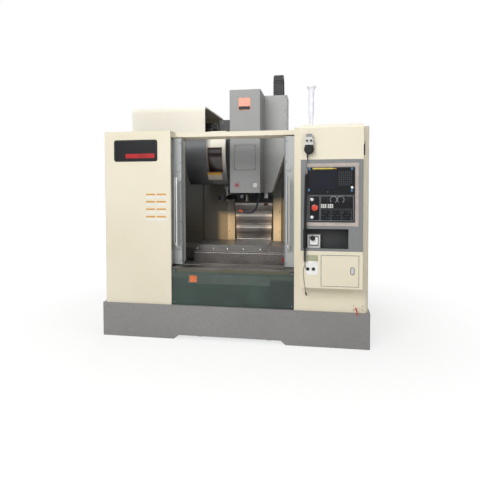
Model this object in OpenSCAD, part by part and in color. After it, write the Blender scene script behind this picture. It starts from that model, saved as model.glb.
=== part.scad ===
// Vertical machining centre with sliding doors, a disc tool magazine and an operator station.
// X runs to the right, Y to the back and Z up. The floor is at z = 0.

/* [Base and bed] */
// Width of the base tray
base_w = 2500; // [2480:10:2700]
// Height of the base tray's skirt
base_h = 318; // [300:2:330]
// Depth of the base tray, front to back
base_d = 1680; // [1670:5:1720]
// Sheet thickness of the base tray
base_t = 4; // [3:0.5:6]
// Height of the cut-out at the skirt's lower edge
notch_h = 38; // [20:1:60]
// Height of the top of the bed, where the Y rails sit
bed_top = 500; // [495:1:500]
// Width of the bed at its front
bed_w = 780; // [760:5:820]
// Height of a levelling foot
foot_h = 62; // [62:1:64]

/* [Column] */
// Height of the top of the column
column_top = 2400; // [2360:10:2440]
// Front face of the column
column_y = 1520; // [1518:1:1524]
// Depth of the column, front to back
column_d = 470; // [440:5:500]
// Width of the column's upper part
column_w = 500; // [490:2:510]

/* [Slides] */
// Travel of the head from rest, downwards
z_travel = 300; // [250:10:300]
// Travel of the table to the left of rest
x_left = 290; // [250:5:300]
// Travel of the table to the right of rest
x_right = 505; // [450:5:505]
// Travel of the saddle towards the door
y_front = 95; // [60:5:100]
// Travel of the saddle towards the column
y_back = 390; // [350:5:395]
// Width of the rails
rail_w = 45; // [35:1:48]
// Height of the rails
rail_h = 36; // [34:1:37]
// Running gap between a block and its rail
rail_gap = 0.3; // [0.2:0.05:0.4]
// Diameter of the ball screws
screw_d = 40; // [32:1:42]

/* [Table] */
// Length of the table
table_l = 769; // [740:1:790]
// Width of the table
table_w = 500; // [480:1:504]
// Thickness of the table's slab
table_t = 65; // [62:1:66]
// Height of the table's top
table_z = 830; // [829:0.5:831]
// Front of the table at rest
table_y = 517; // [515:1:520]
// Middle of the table at rest
table_x = -88; // [-90:1:-86]
// Width of a T-slot's throat
tslot_w = 18; // [14:1:22]
// Number of T-slots
tslots = 5; // [3:1:5]
// Length of the sheet guard at each end of the table
guard_l = 380; // [300:5:390]
// Height of the skirt below the drip edge
skirt_h = 113; // [100:1:116]

/* [Head] */
// Middle of the spindle, across the machine
spindle_x = 20; // [18:1:22]
// Distance of the spindle from the base's front
spindle_y = 915; // [912:1:918]
// Width of the head cover
head_w = 334; // [330:1:338]
// Front of the head cover
head_y = 781; // [776:1:786]
// Depth of the head cover
head_d = 357; // [355:1:359]
// Lower edge of the head cover
head_z = 1364; // [1362:1:1366]
// Height of the head cover
head_h = 1105; // [1080:5:1120]
// Thickness of the head's sheet metal
head_t = 3; // [2:0.5:4]
// Diameter of the spindle nose
nose_d = 110; // [90:1:120]
// Diameter of the tool holder's flange
flange_d = 63; // [60:1:64]
// Length of a plate of the Z way cover
plate_h = 155; // [150:1:158]
// Part of a plate that stays inside the next one
plate_lap = 15; // [12:1:18]
// Width of the top plate of the Z way cover
plate_w = 458; // [440:2:460]

/* [Tool changer] */
// Outer radius of the magazine cover
drum_r = 425; // [420:1:430]
// Left end of the magazine cover
drum_x0 = -620; // [-625:1:-615]
// Right end of the magazine cover
drum_x1 = -179; // [-182:1:-170]
// Middle of the magazine, front to back
drum_y = 1125; // [1122:1:1128]
// Height of the middle of the magazine
drum_z = 1820; // [1815:1:1825]
// Height of the magazine cover's lower edge
drum_cut = 1458; // [1450:1:1462]
// Number of tool pots
pots = 24; // [12:2:24]
// Radius of the circle of pots
pot_circle = 318; // [314:1:322]
// Outside diameter of a pot
pot_d = 66; // [60:1:70]
// Radius of the change arm, to the middle of its jaws
arm_r = 262; // [260:0.5:264]
// Thickness of the change arm
arm_t = 45; // [40:1:46]
// Drop of the change arm
arm_drop = 115; // [90:5:120]

/* [Enclosure] */
// Height of the enclosure's front panels
cover_h = 1635; // [1600:5:1660]
// Thickness of the enclosure's sheet
sheet = 3; // [2:0.5:4]
// Width of the left cover
left_w = 658; // [650:1:665]
// Width of the right pillar
right_w = 648; // [640:1:650]
// Distance of the front panels from the base's front
front_y = 19; // [15:1:22]
// Radius of the pillar's front corner
corner_r = 55; // [30:1:70]
// Height of the green panel
green_h = 358; // [340:1:370]
// Height of the top rail
rail_top_h = 53; // [50:1:56]
// Front of the top rail
rail_top_y = 287; // [285:1:290]
// Front of the hood over the magazine
hood_y = 700; // [697:1:702]
// Length of the hood, left to right
hood_l = 821; // [800:1:830]
// Height of the hood
hood_h = 343; // [340:1:350]
// Radius of the hood's front edge
hood_r = 60; // [30:1:80]

/* [Doors] */
// Width of a door
door_w = 600; // [580:2:620]
// Front face of the doors
door_y = 154; // [150:1:158]
// Depth of a door's frame
door_d = 60; // [50:1:62]
// Travel of a door, which is also how far its edge is from the middle
door_travel = 489; // [480:1:490]
// Width of a door's stile
stile = 118; // [112:1:125]
// Diameter of the handles
handle_d = 32; // [26:1:34]
// Height of the handles
handle_h = 757; // [700:1:780]
// Distance of the handles' grips from the doors
handle_out = 85; // [60:1:90]

/* [Operator station] */
// Left side of the operator housing
op_x = 649; // [645:1:655]
// Width of the operator housing
op_w = 524; // [520:1:530]
// Depth of the operator housing
op_d = 129; // [120:1:132]
// Lower edge of the operator housing
op_z = 553; // [548:1:556]
// Height of the operator housing's front
op_h = 1377; // [1375:1:1385]
// Height of the grey fascia
fascia_h = 786; // [780:1:790]
// Lower edge of the grey fascia
fascia_z = 874; // [870:1:878]
// Diameter of the emergency stop's head
estop_d = 54; // [40:1:58]
// Travel of the emergency stop
estop_travel = 6; // [4:0.5:8]
// Travel of a push button
button_travel = 3; // [2:0.5:4]
// Depth of the tray niche
niche_d = 110; // [80:1:112]

/* [Hidden] */

$fn = 48;

// Colours of the finishes
cream = "#E8E0CC";
grey = "#9E9E9B";
base_grey = "#8B8B88";
iron = "#7F8580";
steel = "#B9BBBC";
dark = "#26282A";
green = "#3A5A50";

// Heights and places of the enclosure
cover_top = base_h + cover_h;
cover_x0 = -base_w / 2 + 29;
cover_x1 = cover_x0 + left_w;
pillar_x1 = base_w / 2 - 15;
pillar_x0 = pillar_x1 - right_w;
side_y1 = base_d - 22;
sill_z = base_h + green_h;
rail_z0 = cover_top - rail_top_h - 2;
rail_depth = 60;
door_z0 = sill_z + 6;
door_z1 = rail_z0 - 4;

// Slides
y_rail_x = 300;
x_rail_y = 120;
z_rail_x = 150;
saddle_l = 1300;
saddle_w = 420;
saddle_z0 = bed_top + rail_h + 22;
saddle_z1 = saddle_z0 + 88;
table_under = table_z - table_t;
table_mid_y = table_y + table_w / 2;
block_low = 6;
x_screw_z = saddle_z1 + 50;
y_screw_z = bed_top - 45;
z_screw_y = column_y - 24;

// Head and way covers
head_x0 = spindle_x - head_w / 2;
head_x1 = head_x0 + head_w;
head_y1 = head_y + head_d;
nose_z = head_z - 24;
cover_step = plate_h - plate_lap;
plates = 5;
z_cover_top = 1290;
z_cover_y = 1438;
plate_t = 3;
plate_gap = 3;
box_x1 = 446;
box_y1 = 1400;

// Tool changer
arm_x = spindle_x - 240;
arm_y = (spindle_y + drum_y) / 2;
arm_z1 = nose_z - 6;
pot_x = 2 * arm_x - spindle_x;
pot_z = drum_z - pot_circle;
pot_len = 124;
disc_x = pot_x - 40;
shaft_d = 50;
cam_x0 = -323;
cam_x1 = -156;
cam_z0 = 1470;
cam_z1 = 1960;

// Operator station
op_y = front_y - op_d;
op_x1 = op_x + op_w;
fascia_z1 = fascia_z + fascia_h;
panel_t = 2.5;
unit_y = op_y - 12;

// Electrical cabinet at the back
cab_x0 = 430;
cab_x1 = 1225;
cab_y0 = base_d;
cab_y1 = cab_y0 + 340;
cab_h = 1900;
cab_door_t = 22;
cab_handle = 28;

// The pendant is the foremost piece and the cabinet's handle the rearmost
pendant_x = 720;
pendant_y0 = op_y - 8;
pendant_t = 42;
wheel_t = 26;
front_most = pendant_y0 - pendant_t - wheel_t;
rear_most = cab_y1 + cab_door_t + cab_handle;
mid_y = (front_most + rear_most) / 2;

// Moves a piece from the front plane's frame to the part's own frame
module placed() {
    translate([0, -mid_y, 0]) children();
}

// A block between two corners
module block(a, b) {
    translate(a) cube(b - a);
}

// An outline drawn in Y and Z, drawn out along X
module along_x(x0, x1) {
    translate([x0, 0, 0]) rotate([90, 0, 90]) linear_extrude(x1 - x0) children();
}

// An outline drawn in X and Z, drawn out along Y
module along_y(y0, y1) {
    translate([0, y1, 0]) rotate([90, 0, 0]) linear_extrude(y1 - y0) children();
}

// An outline drawn in X and Y, drawn out along Z
module along_z(z0, z1) {
    translate([0, 0, z0]) linear_extrude(z1 - z0) children();
}

// A round bar along each axis
module bar_x(d, x0, x1, y, z) {
    along_x(x0, x1) translate([y, z]) circle(d = d);
}
module bar_y(d, y0, y1, x, z) {
    along_y(y0, y1) translate([x, z]) circle(d = d);
}
module bar_z(d, z0, z1, x, y) {
    along_z(z0, z1) translate([x, y]) circle(d = d);
}

// What a rounding takes away at the corner p; s points from the corner into the outline
module corner_cut(p, s, r) {
    difference() {
        translate(p + s * (r - 1) / 2) square(r + 1, center = true);
        translate(p + s * r) circle(r);
    }
}

// A rectangle with a radius at each corner: low X and Y, high X, high X and Y, high Y
module rounded(a, b, r) {
    corners = [[a[0], a[1]], [b[0], a[1]], [b[0], b[1]], [a[0], b[1]]];
    inwards = [[1, 1], [-1, 1], [-1, -1], [1, -1]];
    difference() {
        translate(a) square(b - a);
        for (i = [0:3]) if (r[i] > 0) corner_cut(corners[i], inwards[i], r[i]);
    }
}

// A rounded rectangle with one radius
module soft_rect(a, b, r) {
    rounded(a, b, [r, r, r, r]);
}

// A ring of sheet between an outline and the same outline moved in by the sheet's thickness
module sheet_ring(a, b, r, t) {
    difference() {
        rounded(a, b, r);
        rounded(a + [t, t], b - [t, t], [for (q = r) max(q - t, 0)]);
    }
}

// Base tray: skirt, top flange, floor pan and the lower cut-out
module base_tray() {
    half = base_w / 2;
    radii = [14, 14, 14, 14];
    flange = 48;
    pan_z = 70;
    color(base_grey) placed() difference() {
        union() {
            along_z(0, base_h) sheet_ring([-half, 0], [half, base_d], radii, base_t);
            along_z(base_h - base_t, base_h) sheet_ring([-half, 0], [half, base_d], radii, flange);
            along_z(pan_z, pan_z + base_t) difference() {
                rounded([-half, 0], [half, base_d], radii);
                translate([spindle_x - bed_w / 2 - 10, 90]) square([bed_w + 20, base_d]);
            }
            for (s = [-1, 1]) along_z(pan_z, base_h - 40)
                translate([spindle_x + s * (bed_w / 2 + 12) - base_t / 2, 90]) square([base_t, base_d - 90]);
            along_z(pan_z, base_h - 40) translate([spindle_x - bed_w / 2 - 14, 86]) square([bed_w + 28, base_t]);
        }
        along_y(-1, base_t + 1)
            polygon([[-537, -1], [-487, notch_h], [469, notch_h], [515, -1]]);
        along_y(base_d - flange - 1, base_d + 1)
            translate([spindle_x - bed_w / 2 - 4, -1]) square([bed_w + 8, base_h + 2]);
    }
}

// Levelling feet: a pad, a screw and a lock nut under each corner of the bed
module levelling_feet() {
    color(dark) placed()
        for (x = [-1, 1], y = [160, 820, 1480, 1940])
            translate([spindle_x + x * (bed_w / 2 - 60), y, 0]) {
                cylinder(h = 24, d1 = 110, d2 = 96);
                cylinder(h = foot_h, d = 42);
                translate([0, 0, 36]) cylinder(h = 14, d = 66, $fn = 6);
            }
}

// A rail's section: square foot, waist and head
module rail_section() {
    w = rail_w / 2;
    polygon([
        [-w, 0], [w, 0], [w, rail_h * 0.35], [w - 5, rail_h * 0.5], [w - 5, rail_h * 0.7], [w, rail_h * 0.82],
        [w, rail_h], [-w, rail_h], [-w, rail_h * 0.82], [-w + 5, rail_h * 0.7], [-w + 5, rail_h * 0.5],
        [-w, rail_h * 0.35]
    ]);
}

// The opening that a runner block needs around its rail
module block_section() {
    w = rail_w / 2 + rail_gap;
    polygon([
        [-w, -1], [w, -1], [w, rail_h * 0.35], [w - 5, rail_h * 0.5], [w - 5, rail_h * 0.7], [w, rail_h * 0.82],
        [w, rail_h + rail_gap], [-w, rail_h + rail_gap], [-w, rail_h * 0.82], [-w + 5, rail_h * 0.7],
        [-w + 5, rail_h * 0.5], [-w, rail_h * 0.35]
    ]);
}

// Cast bed with the Y rails, the Y ball screw in its trough and the drive motor at the front
module bed_casting() {
    w = bed_w / 2;
    y0 = 100;
    y1 = 1990;
    color(iron) placed() {
        difference() {
            along_y(y0, y1) translate([spindle_x, 0]) polygon([
                [-w, foot_h], [w, foot_h], [w, foot_h + 60], [w - 30, bed_top - 60], [w - 30, bed_top],
                [150, bed_top], [120, bed_top - 110], [-120, bed_top - 110], [-150, bed_top],
                [-w + 30, bed_top], [-w + 30, bed_top - 60], [-w, foot_h + 60]
            ]);
            // Cored pockets between the ribs
            for (y = [180 : 270 : 1300], s = [-1, 1])
                along_x(spindle_x + s * w - (s > 0 ? 70 : 20), spindle_x + s * w + (s > 0 ? 20 : 70))
                    translate([y, foot_h + 90]) square([200, bed_top - foot_h - 190]);
            along_y(y0 - 1, y1 + 1) translate([spindle_x - 180, foot_h - 1]) square([360, bed_top - foot_h - 160]);
        }
        for (s = [-1, 1])
            translate([spindle_x + s * y_rail_x, 0, bed_top]) along_y(150, 1430) rail_section();
        // Screw, its two bearing blocks and the motor
        bar_y(screw_d, 190, 1400, spindle_x, y_screw_z);
        block([spindle_x - 60, 190, bed_top - 110], [spindle_x + 60, 260, bed_top - 5]);
        block([spindle_x - 60, 1340, bed_top - 110], [spindle_x + 60, 1400, bed_top - 5]);
        difference() {
            block([spindle_x - 65, 118, bed_top - 110], [spindle_x + 65, 190, bed_top + 15]);
            block([spindle_x - 50, 128, bed_top + 5], [spindle_x + 50, 175, bed_top + 20]);
        }
    }
}

// Cast column with a window in its back, the Z rails, the Z ball screw and the Z motor
module column_casting() {
    up = column_w / 2;
    low = bed_w / 2 - 100;
    y1 = column_y + column_d;
    mid = 1150;
    color(iron) placed() {
        difference() {
            along_y(column_y, y1) translate([spindle_x, 0]) polygon([
                [-low, bed_top], [low, bed_top], [low, bed_top + 120], [up, mid], [up, column_top],
                [-up, column_top], [-up, mid], [-low, bed_top + 120]
            ]);
            along_y(column_y + 60, y1 + 1)
                soft_rect([spindle_x - up + 60, bed_top + 180], [spindle_x + up - 60, mid + 150], 60);
            along_y(column_y + 60, y1 + 1)
                soft_rect([spindle_x - up + 60, mid + 230], [spindle_x + up - 60, column_top - 160], 60);
            // Groove for the screw
            along_z(bed_top + 60, column_top - 30) translate([spindle_x, z_screw_y]) circle(d = 90);
        }
        for (s = [-1, 1]) along_z(bed_top + 90, column_top - 60)
            translate([spindle_x + s * z_rail_x, column_y]) rotate(180) rail_section();
        bar_z(screw_d, bed_top + 62, column_top - 40, spindle_x, z_screw_y);
        block([spindle_x - 55, column_y - 46, column_top - 90], [spindle_x + 55, column_y + 22, column_top - 30]);
        block([spindle_x - 55, column_y - 46, bed_top + 60], [spindle_x + 55, column_y + 22, bed_top + 88]);
        bar_z(screw_d - 10, column_top - 60, column_top + 5, spindle_x, z_screw_y);
        block([spindle_x - 70, z_screw_y - 60, column_top], [spindle_x + 70, z_screw_y + 80, column_top + 15]);
        block([spindle_x - 62, z_screw_y - 52, column_top + 15], [spindle_x + 62, z_screw_y + 72, column_top + 150]);
        // Guide behind the cable chain, on an arm from the column's side
        block([spindle_x + up - 1, column_y + 20, 2200], [chain_x - 44, column_y + 70, 2290]);
        block([chain_x - 48, chain_back_y, 2200], [chain_x - 44, column_y + 70, 2290]);
        block([chain_x - 48, chain_back_y, 2140], [chain_x + 48, chain_back_y + 4, 2330]);
    }
}

// A runner block that closes around a rail along X
module runner(l, top) {
    difference() {
        translate([0, -rail_w, block_low]) cube([l, 2 * rail_w, top - block_low]);
        translate([-1, 0, 0]) rotate([90, 0, 90]) linear_extrude(l + 2) block_section();
    }
}

// Saddle: cross slide, X rails on top, Y blocks below, the X screw, its motor and the front apron
module saddle() {
    x0 = spindle_x - saddle_l / 2;
    y0 = table_mid_y - saddle_w / 2;
    color(iron) placed() {
        difference() {
            union() {
                along_x(x0, x0 + saddle_l) polygon([
                    [y0 + 30, saddle_z0], [y0 + saddle_w - 30, saddle_z0], [y0 + saddle_w, saddle_z0 + 40],
                    [y0 + saddle_w, saddle_z1], [y0, saddle_z1], [y0, saddle_z0 + 40]
                ]);
                // Nut housing of the Y screw
                block([spindle_x - 45, table_mid_y - 60, y_screw_z - 38], [spindle_x + 45, table_mid_y + 60, saddle_z0 + 1]);
            }
            block([x0 - 1, table_mid_y - 70, saddle_z1 - 40], [x0 + saddle_l + 1, table_mid_y + 70, saddle_z1 + 1]);
            bar_y(screw_d + 0.2, table_mid_y - 70, table_mid_y + 70, spindle_x, y_screw_z);
        }
        for (s = [-1, 1]) translate([0, table_mid_y + s * x_rail_y, saddle_z1])
            along_x(x0 + 10, x0 + saddle_l - 10) rail_section();
        for (s = [-1, 1], y = [y0 + 20, y0 + saddle_w - 130])
            translate([spindle_x + s * y_rail_x, y, bed_top]) rotate(90) runner(110, saddle_z0 - bed_top);
        bar_x(screw_d - 8, x0 + 30, x0 + saddle_l + 20, table_mid_y, x_screw_z - 25);
        for (x = [x0, x0 + saddle_l - 40])
            block([x, table_mid_y - 55, saddle_z1 - 40], [x + 40, table_mid_y + 55, saddle_z1 + 50]);
        block([x0 + saddle_l, table_mid_y - 45, saddle_z1 - 30], [x0 + saddle_l + 150, table_mid_y + 45, saddle_z1 + 58]);
        // Front plate of the Y way cover, which the saddle carries
        y_plate(2);
    }
}

// Y way cover: three nested covers in front of the saddle
y_plate_l = 340;
y_cover_w = 760;
y_cover_z = bed_top + rail_h + 12;
saddle_y0 = table_mid_y - saddle_w / 2;
y_plate_y = [110, (110 + saddle_y0 - y_plate_l - 20) / 2 + 10, saddle_y0 - y_plate_l];

module y_plate(i) {
    w = y_cover_w / 2 + 6 * i;
    z = y_cover_z + 6 * i;
    y = y_plate_y[i];
    translate([spindle_x, 0, 0]) {
        along_y(y, y + y_plate_l) polygon([
            [-w, z - 60], [-w, z], [0, z + 16], [w, z], [w, z - 60], [w - plate_t, z - 60],
            [w - plate_t, z - plate_t], [0, z + 16 - plate_t], [-w + plate_t, z - plate_t], [-w + plate_t, z - 60]
        ]);
        // Wiper along the front edge
        along_y(y, y + 12) polygon([
            [-w + 1, z - 5.5], [-w + 1, z - 1], [0, z + 15], [w - 1, z - 1], [w - 1, z - 5.5], [0, z + 10.5]
        ]);
    }
}

module y_cover_2() {
    color(steel) placed() y_plate(1);
}

// Z way cover: plate i of five, counted from the bottom; each hangs in front of the one below
module z_plate(i) {
    inset = (plates - 1 - i) * (plate_t + plate_gap);
    w = plate_w / 2 - inset;
    y = z_cover_y + inset;
    mid_x = head_x0 + head_w / 2 + 2;
    z1 = z_cover_top - (plates - 1 - i) * cover_step;
    z0 = z1 - plate_h;
    fold = i == 0 ? column_y - y : 26;
    translate([mid_x, 0, 0]) {
        along_x(-w, w) polygon([
            [y, z0], [y + plate_t, z0], [y + plate_t, z1], [y, z1], [y, z0 + 92], [y + 1.2, z0 + 89],
            [y + 1.2, z0 + 79], [y, z0 + 76]
        ]);
        for (s = [-1, 1])
            block([s > 0 ? w - plate_t : -w, y, z0], [s > 0 ? w : -w + plate_t, y + fold, z1]);
        // Folded lip along the lower edge, with the wiper that touches the next plate behind it
        block([-w, y - 2.5, z0], [w, y, z0 + 14]);
        if (i > 0)
            block([-w + plate_t, y + plate_t - 0.1, z0 + 2], [w - plate_t, y + plate_t + plate_gap - 0.4, z0 + 12]);
    }
}

module z_cover_2() {
    color(steel) placed() z_plate(1);
}
module z_cover_3() {
    color(steel) placed() z_plate(2);
}
module z_cover_4() {
    color(steel) placed() z_plate(3);
}
module z_cover_5() {
    color(steel) placed() {
        z_plate(4);
        // Bracket up to the head
        block([head_x0 + 40, z_cover_y + plate_t, z_cover_top - 40],
              [head_x1 - 40, z_cover_y + plate_t + 2.5, head_z + 4]);
    }
}

// The lowest plates of both way covers, which stay still
module fixed_way_covers() {
    color(steel) placed() {
        z_plate(0);
        y_plate(0);
        // End plate that stands on the bed
        w = y_cover_w / 2 - 22;
        translate([spindle_x, 0, 0]) along_y(y_plate_y[0], y_plate_y[0] + plate_t)
            polygon([[-w, bed_top], [-w, y_cover_z - 1], [0, y_cover_z + 14], [w, y_cover_z - 1], [w, bed_top]]);
    }
}

// T-slot table with its runner blocks and the nut housing
module table() {
    x0 = table_x - table_l / 2;
    pitch = 90;
    throat = 22;
    head_gap = 14;
    head_wide = 32;
    color(iron) placed() {
        difference() {
            block([x0, table_y, table_under], [x0 + table_l, table_y + table_w, table_z]);
            for (i = [0 : tslots - 1]) {
                y = table_mid_y + (i - (tslots - 1) / 2) * pitch;
                along_x(x0 - 1, x0 + table_l + 1) translate([y, table_z]) polygon([
                    [-tslot_w / 2, 1], [-tslot_w / 2, -throat], [-head_wide / 2, -throat],
                    [-head_wide / 2, -throat - head_gap], [head_wide / 2, -throat - head_gap],
                    [head_wide / 2, -throat], [tslot_w / 2, -throat], [tslot_w / 2, 1]
                ]);
            }
        }
        for (s = [-1, 1], x = [table_x - 237, table_x + 117])
            translate([x, table_mid_y + s * x_rail_y, saddle_z1]) runner(120, table_under - saddle_z1);
        difference() {
            block([table_x - 50, table_mid_y - 34, x_screw_z - 60], [table_x + 50, table_mid_y + 34, table_under]);
            bar_x(screw_d - 8 + 0.2, table_x - 60, table_x + 60, table_mid_y, x_screw_z - 25);
        }
        // Heads of the screws along the front edge
        for (i = [0:4]) bar_y(11, table_y - 4, table_y + 1, x0 + 60 + i * (table_l - 120) / 4, table_z - 22);
    }
}

// Sheet guards: skirt with a drip edge before the table, a wing over the ways at each end
module table_guards() {
    x0 = table_x - table_l / 2;
    x1 = x0 + table_l;
    lip_z = table_under;
    skirt_z = table_under - 20 - skirt_h;
    drop = 8;
    drop_left = 36;
    t = 2.5;
    color(steel) placed() {
        along_x(x0, x1 + guard_l) polygon([
            [table_y, lip_z], [table_y - 7, lip_z], [table_y - 7, lip_z - 18], [table_y - t, lip_z - 20],
            [table_y - t, skirt_z], [table_y, skirt_z]
        ]);
        along_x(x1, x1 + guard_l) polygon([
            [table_y, lip_z - 30], [table_y, table_z - drop], [table_y + table_w, table_z - drop],
            [table_y + table_w, skirt_z + 60], [table_y + table_w - t, skirt_z + 60],
            [table_y + table_w - t, table_z - drop - t], [table_y + t, table_z - drop - t], [table_y + t, lip_z - 30]
        ]);
        along_x(x0 - guard_l, x0) polygon([
            [table_y + 60, skirt_z + 40], [table_y + 60, table_z - drop_left], [table_y + table_w, table_z - drop_left],
            [table_y + table_w, skirt_z + 60], [table_y + table_w - t, skirt_z + 60],
            [table_y + table_w - t, table_z - drop_left - t], [table_y + 60 + t, table_z - drop_left - t],
            [table_y + 60 + t, skirt_z + 40]
        ]);
    }
}

// Head casting: body, back plate with runner blocks, bottom plate and spindle motor
module head_casting() {
    body_x0 = spindle_x - 125;
    body_x1 = spindle_x + 130;
    body_z1 = head_z + head_h - 389;
    back = z_rail_x + 52;
    color(iron) placed() {
        difference() {
            union() {
                bar_z(200, head_z + 4, body_z1, spindle_x, spindle_y);
                block([body_x0, spindle_y, head_z + 4], [body_x1, z_cover_y - 18, body_z1]);
                block([spindle_x - back, z_cover_y - 18, head_z + 4], [spindle_x + back, column_y - rail_h - 14, body_z1]);
                along_z(head_z + 4, head_z + 18) rounded(
                    [head_x0 + head_t, head_y + head_t], [head_x1 - head_t, head_y1 - 2], [7, 7, 0, 0]);
                block([spindle_x - 50, column_y - rail_h - 20, 1700], [spindle_x + 50, z_screw_y - 6, 1800]);
                bar_z(80, 1700, 1800, spindle_x, z_screw_y);
            }
            bar_z(84.1, head_z, body_z1 - 300, spindle_x, spindle_y);
            bar_z(nose_d + 6, head_z - 1, head_z + 40, spindle_x, spindle_y);
            bar_z(screw_d + 0.2, 1690, 1810, spindle_x, z_screw_y);
            // Lightening pockets in the sides
            for (z = [1450 : 160 : 1950], s = [-1, 1])
                along_x(s > 0 ? body_x1 - 25 : body_x0 - 1, s > 0 ? body_x1 + 1 : body_x0 + 25)
                    soft_rect([spindle_y + 130, z], [z_cover_y - 60, z + 110], 20);
        }
        for (s = [-1, 1], z = [head_z + 30, body_z1 - 150])
            translate([spindle_x + s * z_rail_x, column_y, z]) difference() {
                translate([-rail_w, -rail_h - 14.5, 0]) cube([2 * rail_w, rail_h + 8, 120]);
                translate([0, 0, -1]) linear_extrude(122) rotate(180) block_section();
            }
        // Spindle motor with its flange
        block([spindle_x - 95, spindle_y - 95, body_z1], [spindle_x + 95, spindle_y + 95, body_z1 + 22]);
        bar_z(178, body_z1 + 22, body_z1 + 330, spindle_x, spindle_y);
    }
}

// Sheet head cover: open below and behind
module head_cover() {
    r = [9, 9, 0, 0];
    color(grey) placed() {
        difference() {
            along_z(head_z, head_z + head_h) difference() {
                rounded([head_x0, head_y], [head_x1, head_y1], r);
                rounded([head_x0 + head_t, head_y + head_t], [head_x1 - head_t, head_y1 + 1], [6, 6, 0, 0]);
            }
            // Shallow seam of the service lid on the front
            along_y(head_y - 1, head_y + 1) difference() {
                soft_rect([head_x0 + 50, 1608], [head_x1 - 52, 1880], 4);
                soft_rect([head_x0 + 53, 1611], [head_x1 - 55, 1877], 3);
            }
        }
        along_z(head_z + head_h - head_t, head_z + head_h)
            rounded([head_x0 + 1, head_y + 1], [head_x1 - 1, head_y1], [8, 8, 0, 0]);
    }
}

// Flat box beside the head that guides the cable chain
module box_outline(t) {
    polygon([
        [head_x1 + t, head_z + t], [head_x1 + 88 - t * 0.75, head_z + t], [box_x1 - t, head_z + 519 + t * 0.3],
        [box_x1 - t, head_z + head_h - 4], [head_x1 + t, head_z + head_h - 4]
    ]);
}

module chain_box() {
    color(grey) placed() {
        along_y(head_y1, head_y1 + head_t) union() {
            box_outline(0);
            translate([spindle_x + 130, head_z + 4]) square([head_x1 - spindle_x - 130 + 1, 700]);
        }
        along_y(head_y1, box_y1) difference() {
            box_outline(0);
            box_outline(head_t);
            translate([head_x1 + head_t, head_z + head_h - 69]) square([box_x1 - head_x1 - 2 * head_t, 100]);
        }
    }
}

// Cable chain: links along two straight runs and a half turn, with the cables inside
chain_w = 108;
chain_x = 344;
link_h = 40;
link_pitch = 38;
chain_r = 105;
chain_y0 = head_y1 + head_t + 0.3;
chain_z = 2592;
chain_links = 17;
chain_back_y = chain_y0 + link_h + 2 * chain_r + 0.3;

module chain_link(l) {
    t = 5;
    difference() {
        translate([-chain_w / 2, -link_h / 2, -l / 2]) cube([chain_w, link_h, l]);
        translate([-chain_w / 2 + t, -link_h / 2 + t, -l / 2 - 1]) cube([chain_w - 2 * t, link_h - 2 * t, l + 2]);
        for (x = [-chain_w / 4, chain_w / 4])
            translate([x - chain_w / 5, -link_h, -l / 4]) cube([chain_w / 2.5, 2 * link_h, l / 2]);
    }
}

module cable_chain() {
    mid = chain_y0 + link_h / 2 + chain_r;
    turns = 9;
    color(dark) placed() translate([chain_x, mid, chain_z]) {
        for (i = [0 : chain_links - 1], s = [-1, 1])
            translate([0, s * chain_r, -(i + 0.5) * link_pitch]) chain_link(link_pitch - 5);
        for (i = [0 : turns - 1])
            rotate([(i + 0.5) * 180 / turns, 0, 0]) translate([0, chain_r, 0]) chain_link(chain_r * PI / turns - 12);
        // Flat bundle of cables that fills the links
        for (s = [-1, 1])
            translate([-chain_w / 2 + 4.5, s * chain_r - link_h / 2 + 11, -chain_links * link_pitch])
                cube([chain_w - 9, link_h - 22, chain_links * link_pitch]);
        rotate([90, 0, 90]) translate([0, 0, -chain_w / 2 + 4.5]) rotate_extrude_arc(chain_w - 9);
    }
}

// Half ring of the cable bundle
module rotate_extrude_arc(w) {
    linear_extrude(w) difference() {
        circle(chain_r + link_h / 2 - 11, $fn = 72);
        circle(chain_r - link_h / 2 + 11, $fn = 72);
        translate([-400, -800]) square(800);
    }
}

// Spindle: nose, shaft in the head's bore and a tool holder with its collet nut
module spindle() {
    color(steel) placed() translate([spindle_x, spindle_y, 0]) {
        rotate_extrude() polygon([
            [0, nose_z], [flange_d / 2 + 12, nose_z], [nose_d / 2, nose_z + 12], [nose_d / 2, head_z + 30],
            [42, head_z + 36], [42, 1740], [0, 1740]
        ]);
        rotate_extrude() polygon([
            [0, nose_z - 0.1], [flange_d / 2, nose_z - 0.1], [flange_d / 2, nose_z - 9], [flange_d / 2 - 5, nose_z - 13],
            [flange_d / 2 - 5, nose_z - 17], [flange_d / 2, nose_z - 21], [flange_d / 2, nose_z - 27],
            [25, nose_z - 27], [25, nose_z - 44], [27, nose_z - 46], [27, nose_z - 68], [22, nose_z - 76], [0, nose_z - 76]
        ]);
        // Drive keys across the nose
        for (s = [-1, 1]) translate([s * (flange_d / 2 + 8) - 7, -8, nose_z - 5]) cube([14, 16, 10]);
    }
}

// Jointed coolant hose: cups and balls from the head's bottom plate to the nozzle
HOSE = [
    [166, 868, 1367.5], [166, 868, 1342], [163, 868, 1316], [157, 868, 1290], [150, 869, 1264], [142, 870, 1239],
    [134, 870, 1214], [124, 870, 1190], [110, 870, 1168], [90, 871, 1152], [66, 872, 1145], [40, 873, 1145],
    [14, 874, 1149], [-10, 875, 1155], [-34, 876, 1163]
];
hose_d = 22;

// Turns a piece that points up to the direction from a to b
module towards(a, b) {
    v = b - a;
    translate(a) rotate([0, atan2(norm([v[0], v[1]]), v[2]), atan2(v[1], v[0])]) children();
}

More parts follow.
